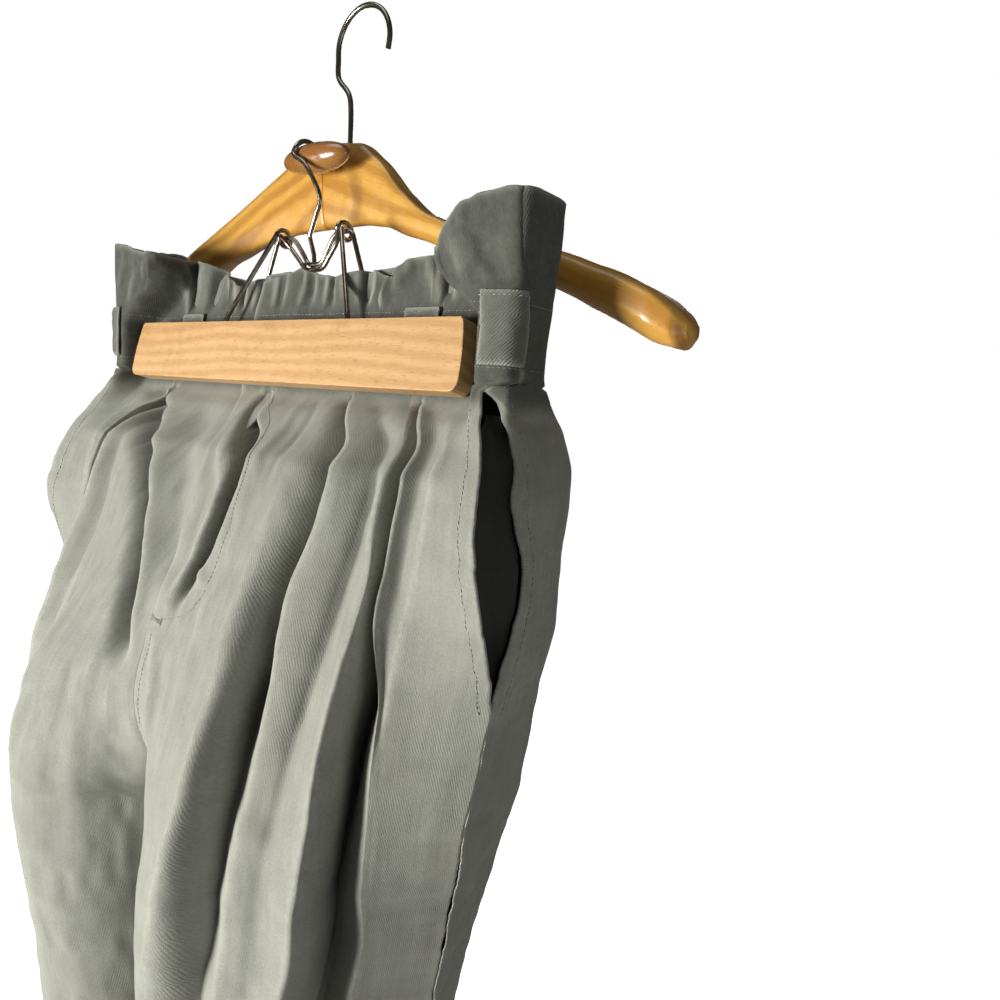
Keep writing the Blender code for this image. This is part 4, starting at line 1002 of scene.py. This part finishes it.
def onCloth(name, drops, places, key="x", lift=0.00015):
    # points just over a panel's outer face, by drop and by x, by the place along the section, or
    # by the distance beside the side seam
    store = panelStore[name]
    dropGrid, placeGrid = store["drop"], store["place"]
    rows, columns = dropGrid.shape
    made = []
    for drop, value in zip(drops, places):
        section = sectionAt(round(float(drop), 4))
        place = value + (section["seam"] if key == "beside" else 0)
        if key == "x" and value >= 0:
            place = float((frontAt if name.startswith("front") else backAt)(section, value))
        row = float(np.interp(drop, dropGrid[:, columns // 2], np.arange(rows)))
        for _ in range(3):
            column = float(np.interp(place, placeGrid[int(round(row))], np.arange(columns)))
            row = float(np.interp(drop, dropGrid[:, int(round(column))], np.arange(rows)))
        r, c = min(int(row), rows - 2), min(int(column), columns - 2)
        fr, fc = row - r, column - c
        parts = np.outer((1 - fr, fr), (1 - fc, fc))[:, :, None]
        near = (slice(r, r + 2), slice(c, c + 2))
        spot = (parts * (store["points"][near] + lift * store["normals"][near])).sum(axis=(0, 1))
        made.append(spot * (store["side"], 1, 1) + origin)
    return made


def line(points, step=0.002):
    # evenly spaced values along a given line of (drop, place) points
    points = np.array(points, float)
    long = np.r_[0.0, np.cumsum(np.linalg.norm(np.diff(points, axis=0), axis=1))]
    at = np.linspace(0, long[-1], max(2, int(long[-1] / step)))
    if len(points) > 2:
        table = (["t", "drop", "place"], np.column_stack((long, points)))
        return readTable(table, "drop", at), readTable(table, "place", at)
    return np.interp(at, long, points[:, 0]), np.interp(at, long, points[:, 1])


# the pitch, the length and the thickness of each kind of stitch, and the seed of its unevenness
sewing = {
    "frontStitches": (0.0027, 0.0020, 0.00042, 4), "backStitches": (0.0027, 0.0020, 0.00042, 5),
    "tackStitches": (0.0010, 0.0012, 0.00045, 7), "loopStitches": (0.0024, 0.0018, 0.00050, 6),
}


def makeStitchTree():
    # short rounded stitches, evenly along every line of points
    tree, given, result = newGroup(
        "stitches", "Geometry",
        {"Geometry": "Geometry", "Pitch": 0.003, "Length": 0.002, "Thickness": 0.0005, "Seed": 1,
         "Thread": "Material"}, ("Geometry",))
    curve = put(tree, "GeometryNodeMeshToCurve", None, i0=given["Geometry"]).outputs[0]
    dots = put(tree, "GeometryNodeResampleCurve", {"mode": "LENGTH"}, Curve=curve, Length=given["Pitch"])
    ball = put(tree, "GeometryNodeMeshUVSphere", None, Segments=6, Rings=4, Radius=0.5).outputs[0]
    size = put(tree, "ShaderNodeCombineXYZ", None, X=given["Thickness"], Y=given["Thickness"],
               Z=given["Length"]).outputs[0]
    stitch = put(tree, "GeometryNodeTransform", None, Geometry=ball, Scale=size).outputs[0]
    tangent = put(tree, "GeometryNodeInputTangent").outputs[0]
    turn = put(tree, "FunctionNodeAlignRotationToVector", {"axis": "Z"}, Vector=tangent).outputs[0]
    some = put(tree, "FunctionNodeRandomValue", {"data_type": "FLOAT"}, i2=0.85, i3=1.1, Seed=given["Seed"])
    spread = some.outputs[1]
    many = put(tree, "GeometryNodeInstanceOnPoints", None, Points=dots.outputs[0], Instance=stitch,
               Rotation=turn, Scale=spread).outputs[0]
    real = put(tree, "GeometryNodeRealizeInstances", None, i0=many).outputs[0]
    soft = put(tree, "GeometryNodeSetShadeSmooth", None, i0=real).outputs[0]
    done = put(tree, "GeometryNodeSetMaterial", None, Geometry=soft, Material=given["Thread"]).outputs[0]
    tree.links.new(done, result[0])
    return tree


def makeWireTree():
    # a round wire along a line of points
    tree, given, result = newGroup(
        "wire", "Geometry",
        {"Geometry": "Geometry", "Radius": 0.0015, "Sides": 16, "Metal": "Material"}, ("Geometry",))
    curve = put(tree, "GeometryNodeMeshToCurve", None, i0=given["Geometry"]).outputs[0]
    circle = put(tree, "GeometryNodeCurvePrimitiveCircle", None, Resolution=given["Sides"],
                 Radius=given["Radius"])
    tube = put(tree, "GeometryNodeCurveToMesh", None, Curve=curve, i1=circle.outputs[0])
    tube.inputs["Fill Caps"].default_value = True
    soft = put(tree, "GeometryNodeSetShadeSmooth", None, i0=tube.outputs[0]).outputs[0]
    done = put(tree, "GeometryNodeSetMaterial", None, Geometry=soft, Material=given["Metal"]).outputs[0]
    tree.links.new(done, result[0])
    return tree


def fromTree(name, lines, tree, **values):
    # runs a geometry tree over lines of points, and keeps the result as a plain mesh
    vertices, edges = [], []
    for points in lines:
        start = len(vertices)
        vertices += [tuple(p) for p in points]
        edges += [(start + i, start + i + 1) for i in range(len(points) - 1)]
    mesh = bpy.data.meshes.new(name + "Lines")
    mesh.from_pydata(vertices, edges, [])
    carrier = addObject(name + "Lines", mesh)
    modifier = carrier.modifiers.new("Nodes", "NODES")
    modifier.node_group = tree
    for item in tree.interface.items_tree:
        if item.in_out == "INPUT" and item.name in values:
            modifier[item.identifier] = values[item.name]
    depsgraph = bpy.context.evaluated_depsgraph_get()
    made = bpy.data.meshes.new_from_object(carrier.evaluated_get(depsgraph), depsgraph=depsgraph)
    made.name = name
    piece = addObject(name, made)
    bpy.data.objects.remove(carrier)
    return piece


stitchTree, wireTree = makeStitchTree(), makeWireTree()
frontSewing, backSewing = [], []
# the fly's curved line, its bar tack, and the row beside the centre seam
frontSewing.append(onCloth("frontLeft", *line([
    (0.0480, -0.004), (0.0569, 0.0032), (0.0768, 0.0238), (0.1128, 0.0411), (0.1305, 0.0427),
    (0.1441, 0.0424), (0.1530, 0.0420), (0.1617, 0.0390), (0.1700, 0.0290), (0.1745, 0.0190),
    (0.1765, 0.0110)])))
frontSewing.append(onCloth("frontLeft", *line([(0.186, 0.0050), (0.232, 0.0050), (0.284, 0.0050)])))
tackSewing = []
for row in range(4):
    start = 0.1764 + row * 0.0006
    tack = [(start, 0.0012), (start + 0.0004, 0.0060), (start + 0.0007, 0.0108)]
    tackSewing.append(onCloth("frontLeft", *line(tack)))
for end in (0.0012, 0.0108):
    tackSewing.append(onCloth("frontLeft", *line([(0.1762, end), (0.1778, end), (0.1794, end)])))
for name in ("frontLeft", "frontRight", "backLeft", "backRight"):
    store = panelStore[name]
    low, high = store["place"][frillSteps, 0] + 0.001, store["place"][frillSteps, -1] - 0.001
    target = frontSewing if name.startswith("front") else backSewing
    for drop in (0.0012, 0.0312):
        at = np.linspace(low, high, 150)
        target.append(onCloth(name, np.full(150, drop), at, "place", 0.0001))
    hemPlace = store["place"][-1]
    at = np.linspace(hemPlace[0] + 0.001, hemPlace[-1] - 0.001, 130)
    target.append(onCloth(name, np.full(130, form["hem"] - 0.0235), at, "place", 0.0001))
for name in ("frontLeft", "frontRight"):
    # the row beside the pocket's edge, in front and then behind
    rows = np.linspace(0.052, 0.186, 68)
    frontSewing.append(onCloth(name, rows, readTable(pocketEdges, "front", rows) - 0.0062, "beside"))
for name in ("backLeft", "backRight"):
    rows = np.linspace(0.046, 0.192, 74)
    backSewing.append(onCloth(name, rows, readTable(pocketEdges, "back", rows) + 0.0068, "beside"))
backSewing.append(onCloth("backLeft", *line([(0.055, 0.0055), (0.170, 0.0055), (0.284, 0.0055)])))
print("sewing lines", len(frontSewing) + len(backSewing))

loops = {
    "top": -0.004, "frontTop": -0.0008, "bottom": 0.030, "width": 0.024, "frontX": 0.108, "lift": 0.0023,
    "cloth": 0.0011,
}


def buildLoop(name, where, side):
    top = loops["frontTop"] if where == "front" else loops["top"]
    drops = np.linspace(top, loops["bottom"], 30)
    t = np.linspace(0, 1, 22)
    points = []
    for drop in drops:
        section = sectionAt(round(float(drop), 4))
        ends = between(drop, top, 0.004, loops["bottom"], 0.004)
        if where == "side":
            s = section["seam"] - loops["width"] + t * (loops["width"] - 0.001)
        elif where == "front":
            s = frontAt(section, loops["frontX"] + (t - 0.5) * loops["width"])
        else:
            s = section["length"] - loops["width"] / 2 + 0 * t
        x, y, nx, ny = onSection(section, s)
        lift = loops["lift"] + 0 * t
        if where == "side":
            lift = lift - 0.0005 * (1 - ends) + 0.0006 * ends * np.sin(math.pi * t) ** 0.7
            lift = lift + 0.0004 * softNoise(t * 5, drop / 0.007, 31 + side)
        if where == "back":
            x, nx, ny = (0.5 - t) * loops["width"], 0 * t, 1 + 0 * t
        points.append(np.stack((x + nx * lift, y + ny * lift, np.full(len(t), form["waist"] - drop)), 1))
    points = np.array(points)
    normals = gridNormals(points)
    centre = np.array((0.0, -0.006, 0.0)) if where != "side" else np.array((0.12, -0.006, 0.0))
    if np.dot(normals[15, 11], points[15, 11] - centre) < 0:
        normals = -normals
    across, down = flatMap(points, 0)
    edge = np.minimum(np.minimum(across, across[:, -1:] - across), np.minimum(down, down[-1:] - down))
    wear = np.clip(0.9 * np.exp(-edge / 0.0012), 0, 1) - 0.6
    return clothShell(name, points, normals, loops["cloth"], across, down, wear, side, loopCloth), points


loopPieces, loopSewing = {}, []
for side, word in ((1, "Left"), (-1, "Right")):
    for where in ("side", "front"):
        piece, points = buildLoop(where + "Loop" + word, where, side)
        loopPieces[where + "Loop" + word] = piece
        for row in (2, -3):
            path = points[row] + (0, -0.0002 if where == "front" else 0, 0)
            if where == "side":
                path = path + (0.00025, -0.0001, 0)
            loopSewing.append(path * (side, 1, 1) + origin)
loopPieces["backLoop"], points = buildLoop("backLoop", "back", 1)
for row in (2, -3):
    loopSewing.append(points[row] + origin + (0, 0.0002, 0))
print("loops made")

stitches = {}
for (name, values), lines in zip(sewing.items(), (frontSewing, backSewing, tackSewing, loopSewing)):
    pitch, length, thickness, seed = values
    stitches[name] = fromTree(name, lines, stitchTree, Pitch=pitch, Length=length, Thickness=thickness,
                              Seed=seed, Thread=thread)

def buildPocket(name, word, side):
    # a folded sheet: behind the front's edge, round a fold, and back out to the side seam
    front, back = panelStore["front" + word], panelStore["back" + word]
    points = []
    edgeDrops = front["drop"][:, -1]
    for row in np.nonzero((edgeDrops > pocket["top"]) & (edgeDrops < pocket["bottom"]))[0]:
        path, out = front["points"][row, ::-1], front["normals"][row, ::-1]
        walked = np.r_[0.0, np.cumsum(np.linalg.norm(np.diff(path, axis=0), axis=1))]

        def behind(distance, depth):
            at, normal = (np.stack([np.interp(distance, walked, grid[:, k]) for k in range(3)], axis=-1)
                          for grid in (path, out))
            return at - normal * np.asarray(depth)[..., None]

        near = behind(np.linspace(0.001, pocket["depth"] - 0.0035, 12), np.full(12, 0.0030))
        bend = behind(pocket["depth"] - np.array((0.0012, 0.0, 0.0012)), (0.0036, 0.0055, 0.0074))
        start = behind(pocket["depth"] - 0.0035, 0.0080)
        end = back["points"][row, 0] - back["normals"][row, 0] * 0.0032
        part = np.linspace(0, 1, 26)[:, None]
        crumple = 0.0006 * softNoise(part * 3, edgeDrops[row] / 0.016, 51)
        far = start + (end - start) * part - back["normals"][row, 0] * (crumple + 0.010 * part * (1 - part))
        points.append(np.concatenate((near, bend, far)))
    points = np.array(points)
    points[:, :, 2] = points[:, :1, 2]
    normals = gridNormals(points)
    if normals[30, 3, 0] < 0:
        normals = -normals
    across, down = flatMap(points, 0)
    return clothShell(name, points, normals, pocket["cloth"], across, down, 0 * across, side, pocketCloth)


pocketPieces = {}
for side, word in ((1, "Left"), (-1, "Right")):
    pocketPieces["pocketBag" + word] = buildPocket("pocketBag" + word, word, side)
print("pockets made")

arms = makeTable(
    "x top height depth middle",
    (-292, 13, 8, 16, 54),
    (-286, 20, 19, 32, 54),
    (-270, 31, 25, 39, 54),
    (-235, 52, 26, 39, 53),
    (-189, 76, 26, 32, 50),
    (-150, 94, 28, 23, 47),
    (-118, 108, 33, 18, 45.5),
    (-72, 129, 44, 16, 45),
    (-50, 138, 51, 16, 45),
    (-25, 141.5, 54, 16, 45),
    (0, 139.5, 52, 16, 45),
    (21, 129, 43, 16, 45),
    (48, 104, 26, 16, 45),
    (79, 85, 17, 18, 46),
    (118, 73, 18, 24, 49),
    (158, 63, 21, 32, 52),
    (185, 54, 24, 38, 55),
    (212, 43, 26, 39, 56),
    (229, 32, 21, 34, 56),
    (237, 24, 9, 16, 56),
)
# half of an arm's section, from the top round the front to the bottom, as parts of its size
armProfile = [(0.00, 1.00), (0.45, 0.99), (0.74, 0.93), (0.92, 0.78), (0.99, 0.55), (1.00, 0.20),
              (1.00, -0.18), (0.975, -0.34), (0.90, -0.50), (0.72, -0.78), (0.60, -0.90), (0.42, -0.98),
              (0.00, -1.00)]
hanger = {
    "joint": -0.025, "gap": 0.0003, "knob": (-0.0135, 0.022, 0.1255), "knobSize": (0.060, 0.0185),
    "pegRadius": 0.0035, "pegX": -0.0095, "plane": 0.045, "hookWire": 0.0017, "hookRadius": 0.0237,
    "hookCentre": 0.2003,
}


def ringedPiece(name, vertices, sides, material):
    # a closed solid through rings of points, each with as many points as it has sides
    faces = []
    for a in range(len(vertices) - sides):
        b = a // sides * sides + (a + 1) % sides
        faces.append((a, b, b + sides, a + sides))
    faces += [tuple(range(sides))[::-1], tuple(range(len(vertices) - sides, len(vertices)))]
    mesh = bpy.data.meshes.new(name)
    mesh.from_pydata([tuple(v) for v in vertices], [], faces)
    return finished(mesh, material, True)


def buildArm(name, start, end, material, endAtStart):
    right = np.array(armProfile)
    outline = np.concatenate((right * (-1, 1), right[-2:0:-1]))
    # cut corners keep a soft chamfer along the lower edge
    after = np.roll(outline, -1, axis=0)
    outline = np.stack((0.75 * outline + 0.25 * after, 0.25 * outline + 0.75 * after), 1).reshape(-1, 2)
    # more stations close to the tip and to the joint
    tip, joint, inward = (start, end, 1) if endAtStart else (end, start, -1)
    rounded = tip + (0.5 - 0.5 * np.cos(np.linspace(0.3, 2.2, 10))) * 0.012 * inward
    stations = np.r_[start + (end - start) * np.linspace(0, 1, 90), rounded, joint - 0.0008 * inward,
                     joint - 0.0016 * inward]
    stations = np.unique(np.round(stations, 6))
    vertices = []
    for x in stations:
        halfHeight, halfDepth = readTable(arms, "height", x) / 2, readTable(arms, "depth", x) / 2
        eased = 0.0006 * max(0.0, 1 - abs(x - joint) / 0.0014)
        y = form["clampY"] + readTable(arms, "middle", x)
        z = form["clampZ"] + readTable(arms, "top", x) - halfHeight
        vertices += [(x, y + across * (halfDepth - eased), z + up * (halfHeight - eased))
                     for across, up in outline]
    return ringedPiece(name, vertices, len(outline), material)


gap = hanger["gap"] / 2
armRight = buildArm("armRight", -0.2920, hanger["joint"] - gap, rightArmWood, True)
armLeft = buildArm("armLeft", hanger["joint"] + gap, 0.2370, leftArmWood, False)


def turned(name, profile, centre, axis, material, sides=48):
    # a shape turned on a lathe: distance along the axis and radius
    units = [Vector((1, 0, 0)), Vector((0, 1, 0)), Vector((0, 0, 1))]
    first, second, third = units if axis == "x" else (units[1], units[2], units[0])
    vertices = []
    for along, radius in profile:
        for k in range(sides):
            angle = 2 * math.pi * k / sides
            vertices.append(centre + first * along + second * radius * math.cos(angle)
                            + third * radius * math.sin(angle))
    return ringedPiece(name, vertices, sides, material)


def clampPlace(x, y, z):
    return Vector((x, y + form["clampY"], z + form["clampZ"]))


knobProfile = []
for k in range(41):
    angle = math.pi * (k / 40 - 0.5) * 0.985
    radius = hanger["knobSize"][1] / 2 * math.cos(angle) ** 0.94
    groove = 0.00022 * math.exp(-((k - 24) / 0.8) ** 2) + 0.00018 * math.exp(-((k - 15) / 0.7) ** 2)
    knobProfile.append((hanger["knobSize"][0] / 2 * math.sin(angle), max(radius - groove, 0.0004)))
knob = turned("knob", knobProfile, clampPlace(*hanger["knob"]), "x", knobWood)
pegStart = hanger["knob"][1] + 0.0035
pegEnd = hanger["plane"] - float(readTable(arms, "depth", hanger["pegX"])) / 2
pegLong = pegEnd - pegStart
pegProfile = [(at, hanger["pegRadius"] * share) for at, share in (
    (0, 0.98), (pegLong * 0.5, 1), (pegLong - 0.0012, 1), (pegLong - 0.0002, 0.94))]
peg = turned("peg", pegProfile, clampPlace(hanger["pegX"], pegStart, hanger["knob"][2]), "y", pegWood, 24)

clamp = {
    "wire": 0.0015, "barLow": -0.0037, "barHeight": 0.038, "barThick": 0.012, "barFace": -0.00765,
    "grip": 0.0105, "footX": 0.0585, "coilX": 0.0290, "coilRadius": 0.0052, "coilRun": 0.0036,
    "coilAlong": 0.0755, "dipAcross": 0.0028, "dipLow": 0.0552, "middlePull": 0.0040,
    "catchX": -0.006, "catchRadius": 0.0035, "overX": -0.0215,
}


def leaning(x, across, along):
    # a point by its place across and along the lean of the bars
    y = across * math.cos(form["tilt"]) + along * math.sin(form["tilt"])
    z = along * math.cos(form["tilt"]) - across * math.sin(form["tilt"])
    return clampPlace(x, y, z)


def arc(radius, start, turn, count):
    # places round a circle, with the start and each turn as parts of half a circle
    angles = [math.pi * (start + turn * k) for k in range(count + 1)]
    return [(radius * math.cos(angle), radius * math.sin(angle)) for angle in angles]


def through(points, steps):
    path = []
    ends = [points[0]] + list(points) + [points[-1]]
    for a, b, c, d in zip(ends, ends[1:], ends[2:], ends[3:]):
        for k in range(steps):
            t = k / steps
            path.append(0.5 * (2 * b + (c - a) * t + (2 * a - 5 * b + 4 * c - d) * t * t
                               + (3 * b - a - 3 * c + d) * t ** 3))
    return path + [points[-1]]


def bent(points, rounds=3, reach=0.0022):
    # rounds the corners of a line, but only close to them
    for _ in range(rounds):
        made = [points[0]]
        for a, b in zip(points, points[1:]):
            long = (b - a).length
            cut = min(0.25, reach / max(long, 1e-6))
            made += [a + (b - a) * cut, b + (a - b) * cut]
        points = made + [points[-1]]
        reach *= 0.5
    return points


def foot(x, across):
    low = clamp["barLow"] + clamp["barHeight"] / 2 - 0.0015
    return [leaning(x, across, low), leaning(x, across, low + 0.0048)]


def dip(low, reach):
    shape = ((1.0, 0.35, 0.0148), (0.60, 0.75, 0.0062), (0.36, 1.0, 0.0))
    left = [(-reach * x, clamp["dipAcross"] * a - clamp["middlePull"] * (1 - a), low + z)
            for x, a, z in shape]
    return [leaning(*p) for p in left + [(-x, a, z) for x, a, z in reversed(left)]]


def frontBail():
    bar = clamp["barFace"] - clamp["barThick"] / 2
    across = clamp["barFace"] + clamp["grip"] / 2
    points = foot(-clamp["footX"], bar)
    for start in (-clamp["coilX"] - clamp["coilRun"] / 2, clamp["coilX"] - clamp["coilRun"] / 2):
        points += [leaning(start + clamp["coilRun"] * k / 16, across - a, clamp["coilAlong"] + b)
                   for k, (a, b) in enumerate(arc(clamp["coilRadius"], 0, 0.125, 16))]
        if start < 0:
            points += dip(clamp["dipLow"], 0.0230)
    return points + foot(clamp["footX"], bar)[::-1]


def backBail():
    bar = clamp["barFace"] + clamp["grip"] + clamp["barThick"] / 2
    across = clamp["barFace"] + clamp["grip"] / 2
    clear = clamp["coilRun"] / 2 + 2 * clamp["wire"] + 0.001
    points = foot(-clamp["footX"], bar)
    for x in (-clamp["coilX"] - clear, clear - clamp["coilX"]):
        points.append(leaning(x, across, clamp["coilAlong"]))
    points += dip(clamp["dipLow"] + 2 * clamp["wire"] + 0.0004, 0.0180)
    for x in (clamp["coilX"] - clear, clamp["coilX"] + clear):
        points.append(leaning(x, across, clamp["coilAlong"]))
    return points + foot(clamp["footX"], bar)[::-1]


def clampHook():
    radius = clamp["catchRadius"]
    low = clamp["dipLow"] - 2 * clamp["wire"] - 0.0003 + radius
    route = [(-radius, 0.003), *arc(radius, 1, 1 / 12, 12), (radius, 0.009)]
    points = [leaning(clamp["catchX"], clamp["dipAcross"] + a, low + b) for a, b in route]
    over = hanger["knobSize"][1] / 2 + clamp["wire"] + 0.0004
    _, ky, kz = hanger["knob"]
    shank = [(-0.010, 0.0165, 0.0760), (-0.003, 0.0150, 0.0880), (0.001, 0.0145, 0.0970),
             (-0.003, 0.0125, 0.1080), (-0.0110, ky - over, 0.1190)]
    shank += [(clamp["overX"], ky + a, kz + b) for a, b in arc(over, 1, -1 / 6, 6)]
    return points + through([clampPlace(*p) for p in shank], 7)


def hangerHook():
    route = [(-0.008, float(readTable(arms, "top", -0.008)) - 0.002), (-0.009, 0.162), (-0.012, 0.173),
             (-0.022, 0.184)]
    route += [(a, hanger["hookCentre"] + b) for a, b in arc(hanger["hookRadius"], 1.06, -0.115, 10)]
    return through([clampPlace(x, hanger["plane"], z) for x, z in route], 7)


wires = {}
for name, path, radius, rounds in (("bailFront", frontBail(), clamp["wire"], 3),
                                   ("bailBack", backBail(), clamp["wire"], 3),
                                   ("clampHook", clampHook(), clamp["wire"], 1),
                                   ("hangerHook", hangerHook(), hanger["hookWire"], 1)):
    wires[name] = fromTree(name, [bent(path, rounds)], wireTree, Radius=radius, Sides=16, Metal=wireMetal)
print("hangers and wires made")

for name in ("clamp_bar_front", "clamp_bar_back"):
    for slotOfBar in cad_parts[name].material_slots:
        slotOfBar.material = barWood

# the CAD node that each piece stands for, by its slot
replaced = {
    "twill": {"frontLeft": "front_left", "frontRight": "front_right", "backLeft": "back_left",
              "backRight": "back_right", "sideLoopLeft": "side_loop_left",
              "sideLoopRight": "side_loop_right", "frontLoopLeft": "front_loop_left",
              "frontLoopRight": "front_loop_right", "backLoop": "back_loop", **dict.fromkeys(stitches)},
    "pocketing": {"pocketBagLeft": "pocket_bag_left", "pocketBagRight": "pocket_bag_right"},
    "varnished_beech": {"armLeft": "hanger_arm_left", "armRight": "hanger_arm_right"},
    "turned_wood": {"knob": "hanger_knob", "peg": "hanger_peg"},
    "wire_steel": {"bailFront": "clamp_bail_front", "bailBack": "clamp_bail_back", "clampHook": "clamp_hook",
                   "hangerHook": "hanger_hook"},
}
clothPieces = {**panels, **loopPieces, **pocketPieces}
pieces = {piece.name: piece for piece in (armLeft, armRight, knob, peg)}
pieces.update({**clothPieces, **stitches, **wires})
for look, names in replaced.items():
    for name, node in names.items():
        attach(pieces[name], "root")
        if node:
            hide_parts(node)

stage = {"floor": -1.215, "size": 14.0, "floorColor": (0.50, 0.50, 0.49, 1),
         "sky": 1.0, "fill": 0.05, "floorGlow": 1.0}

mesh = bpy.data.meshes.new("floor")
half = stage["size"]
corners = ((-half, -half), (half, -half), (half, half), (-half, half))
mesh.from_pydata([(x, y, stage["floor"]) for x, y in corners], [], [(0, 1, 2, 3)])
floor = addObject("floor", mesh)
material, tree, shader, place = newMaterial("floorPaint", Roughness=0.7, Emission_Color=(1, 1, 1, 1))
shade = ramp(tree, noise(tree, place, 1.5, 4.0), 0.2, 0.8, 0.9, 1.0)
grey = put(tree, "ShaderNodeCombineColor", None, Red=shade, Green=shade, Blue=shade).outputs[0]
color = blendColor(tree, "MULTIPLY", 1.0, stage["floorColor"], grey)
tree.links.new(color, shader.inputs["Base Color"])
# the far floor stays as pale as the wall behind it
seen = put(tree, "ShaderNodeLightPath").outputs["Is Camera Ray"]
tree.links.new(maths(tree, "MULTIPLY", seen, stage["floorGlow"]), shader.inputs["Emission Strength"])
mesh.materials.append(material)

lights = {
    "window": {"place": (-0.70, -1.78, -0.66), "aim": (-0.02, -0.12, -0.56), "size": (0.7, 0.7),
               "power": 9.6, "color": (1.0, 0.99, 0.965), "spread": 60.0},
    "side": {"place": (1.9, -0.35, -0.75), "aim": (0.1, 0.0, -0.62), "size": (1.0, 1.2), "power": 9.0},
    "rear": {"place": (-1.0, 1.9, 0.05), "aim": (0.0, 0.0, -0.55), "size": (1.2, 1.2), "power": 26.0},
    "ceiling": {"place": (-0.3, -0.8, 1.7), "aim": (0.0, -0.05, -0.2), "size": (1.4, 1.0), "power": 8.0},
}


def addLight(name, place, aim, size, power, color=(1, 1, 1), spread=180.0):
    lamp = bpy.data.lights.new(name, "AREA")
    lamp.shape = "RECTANGLE"
    lamp.size, lamp.size_y = size
    lamp.energy = power
    lamp.color = color
    lamp.spread = math.radians(spread)
    thing = addObject(name, lamp)
    thing.location = place
    thing.rotation_euler = (Vector(aim) - Vector(place)).to_track_quat("-Z", "Y").to_euler()


world = bpy.data.worlds.new("studio")
bpy.context.scene.world = world
world.use_nodes = True
tree = world.node_tree
background = tree.nodes["Background"]
background.inputs["Color"].default_value = (1.0, 1.0, 1.0, 1)
seen = put(tree, "ShaderNodeLightPath").outputs["Is Camera Ray"]
strength = maths(tree, "MULTIPLY_ADD", seen, stage["sky"] - stage["fill"], stage["fill"])
tree.links.new(strength, background.inputs["Strength"])
bpy.context.scene.view_settings.view_transform = "Standard"
for name, values in lights.items():
    addLight(name, **values)

camera = {"place": (0.3881, -0.3502, -0.2488), "azimuth": 35.97, "pitch": -6.7, "roll": 4.12, "lens": 27.0}

azimuth, pitch, roll = (math.radians(camera[key]) for key in ("azimuth", "pitch", "roll"))
data = bpy.data.cameras.new("camera")
data.lens = camera["lens"]
data.sensor_width = 36.0
data.clip_start = 0.01
thing = addObject("camera", data)
thing.matrix_world = Matrix.Translation(camera["place"])
for angle, axis in ((azimuth, "Z"), (math.pi / 2 + pitch, "X"), (roll, "Z")):
    thing.matrix_world = thing.matrix_world @ Matrix.Rotation(angle, 4, axis)
bpy.context.scene.camera = thing

print("scene ready")
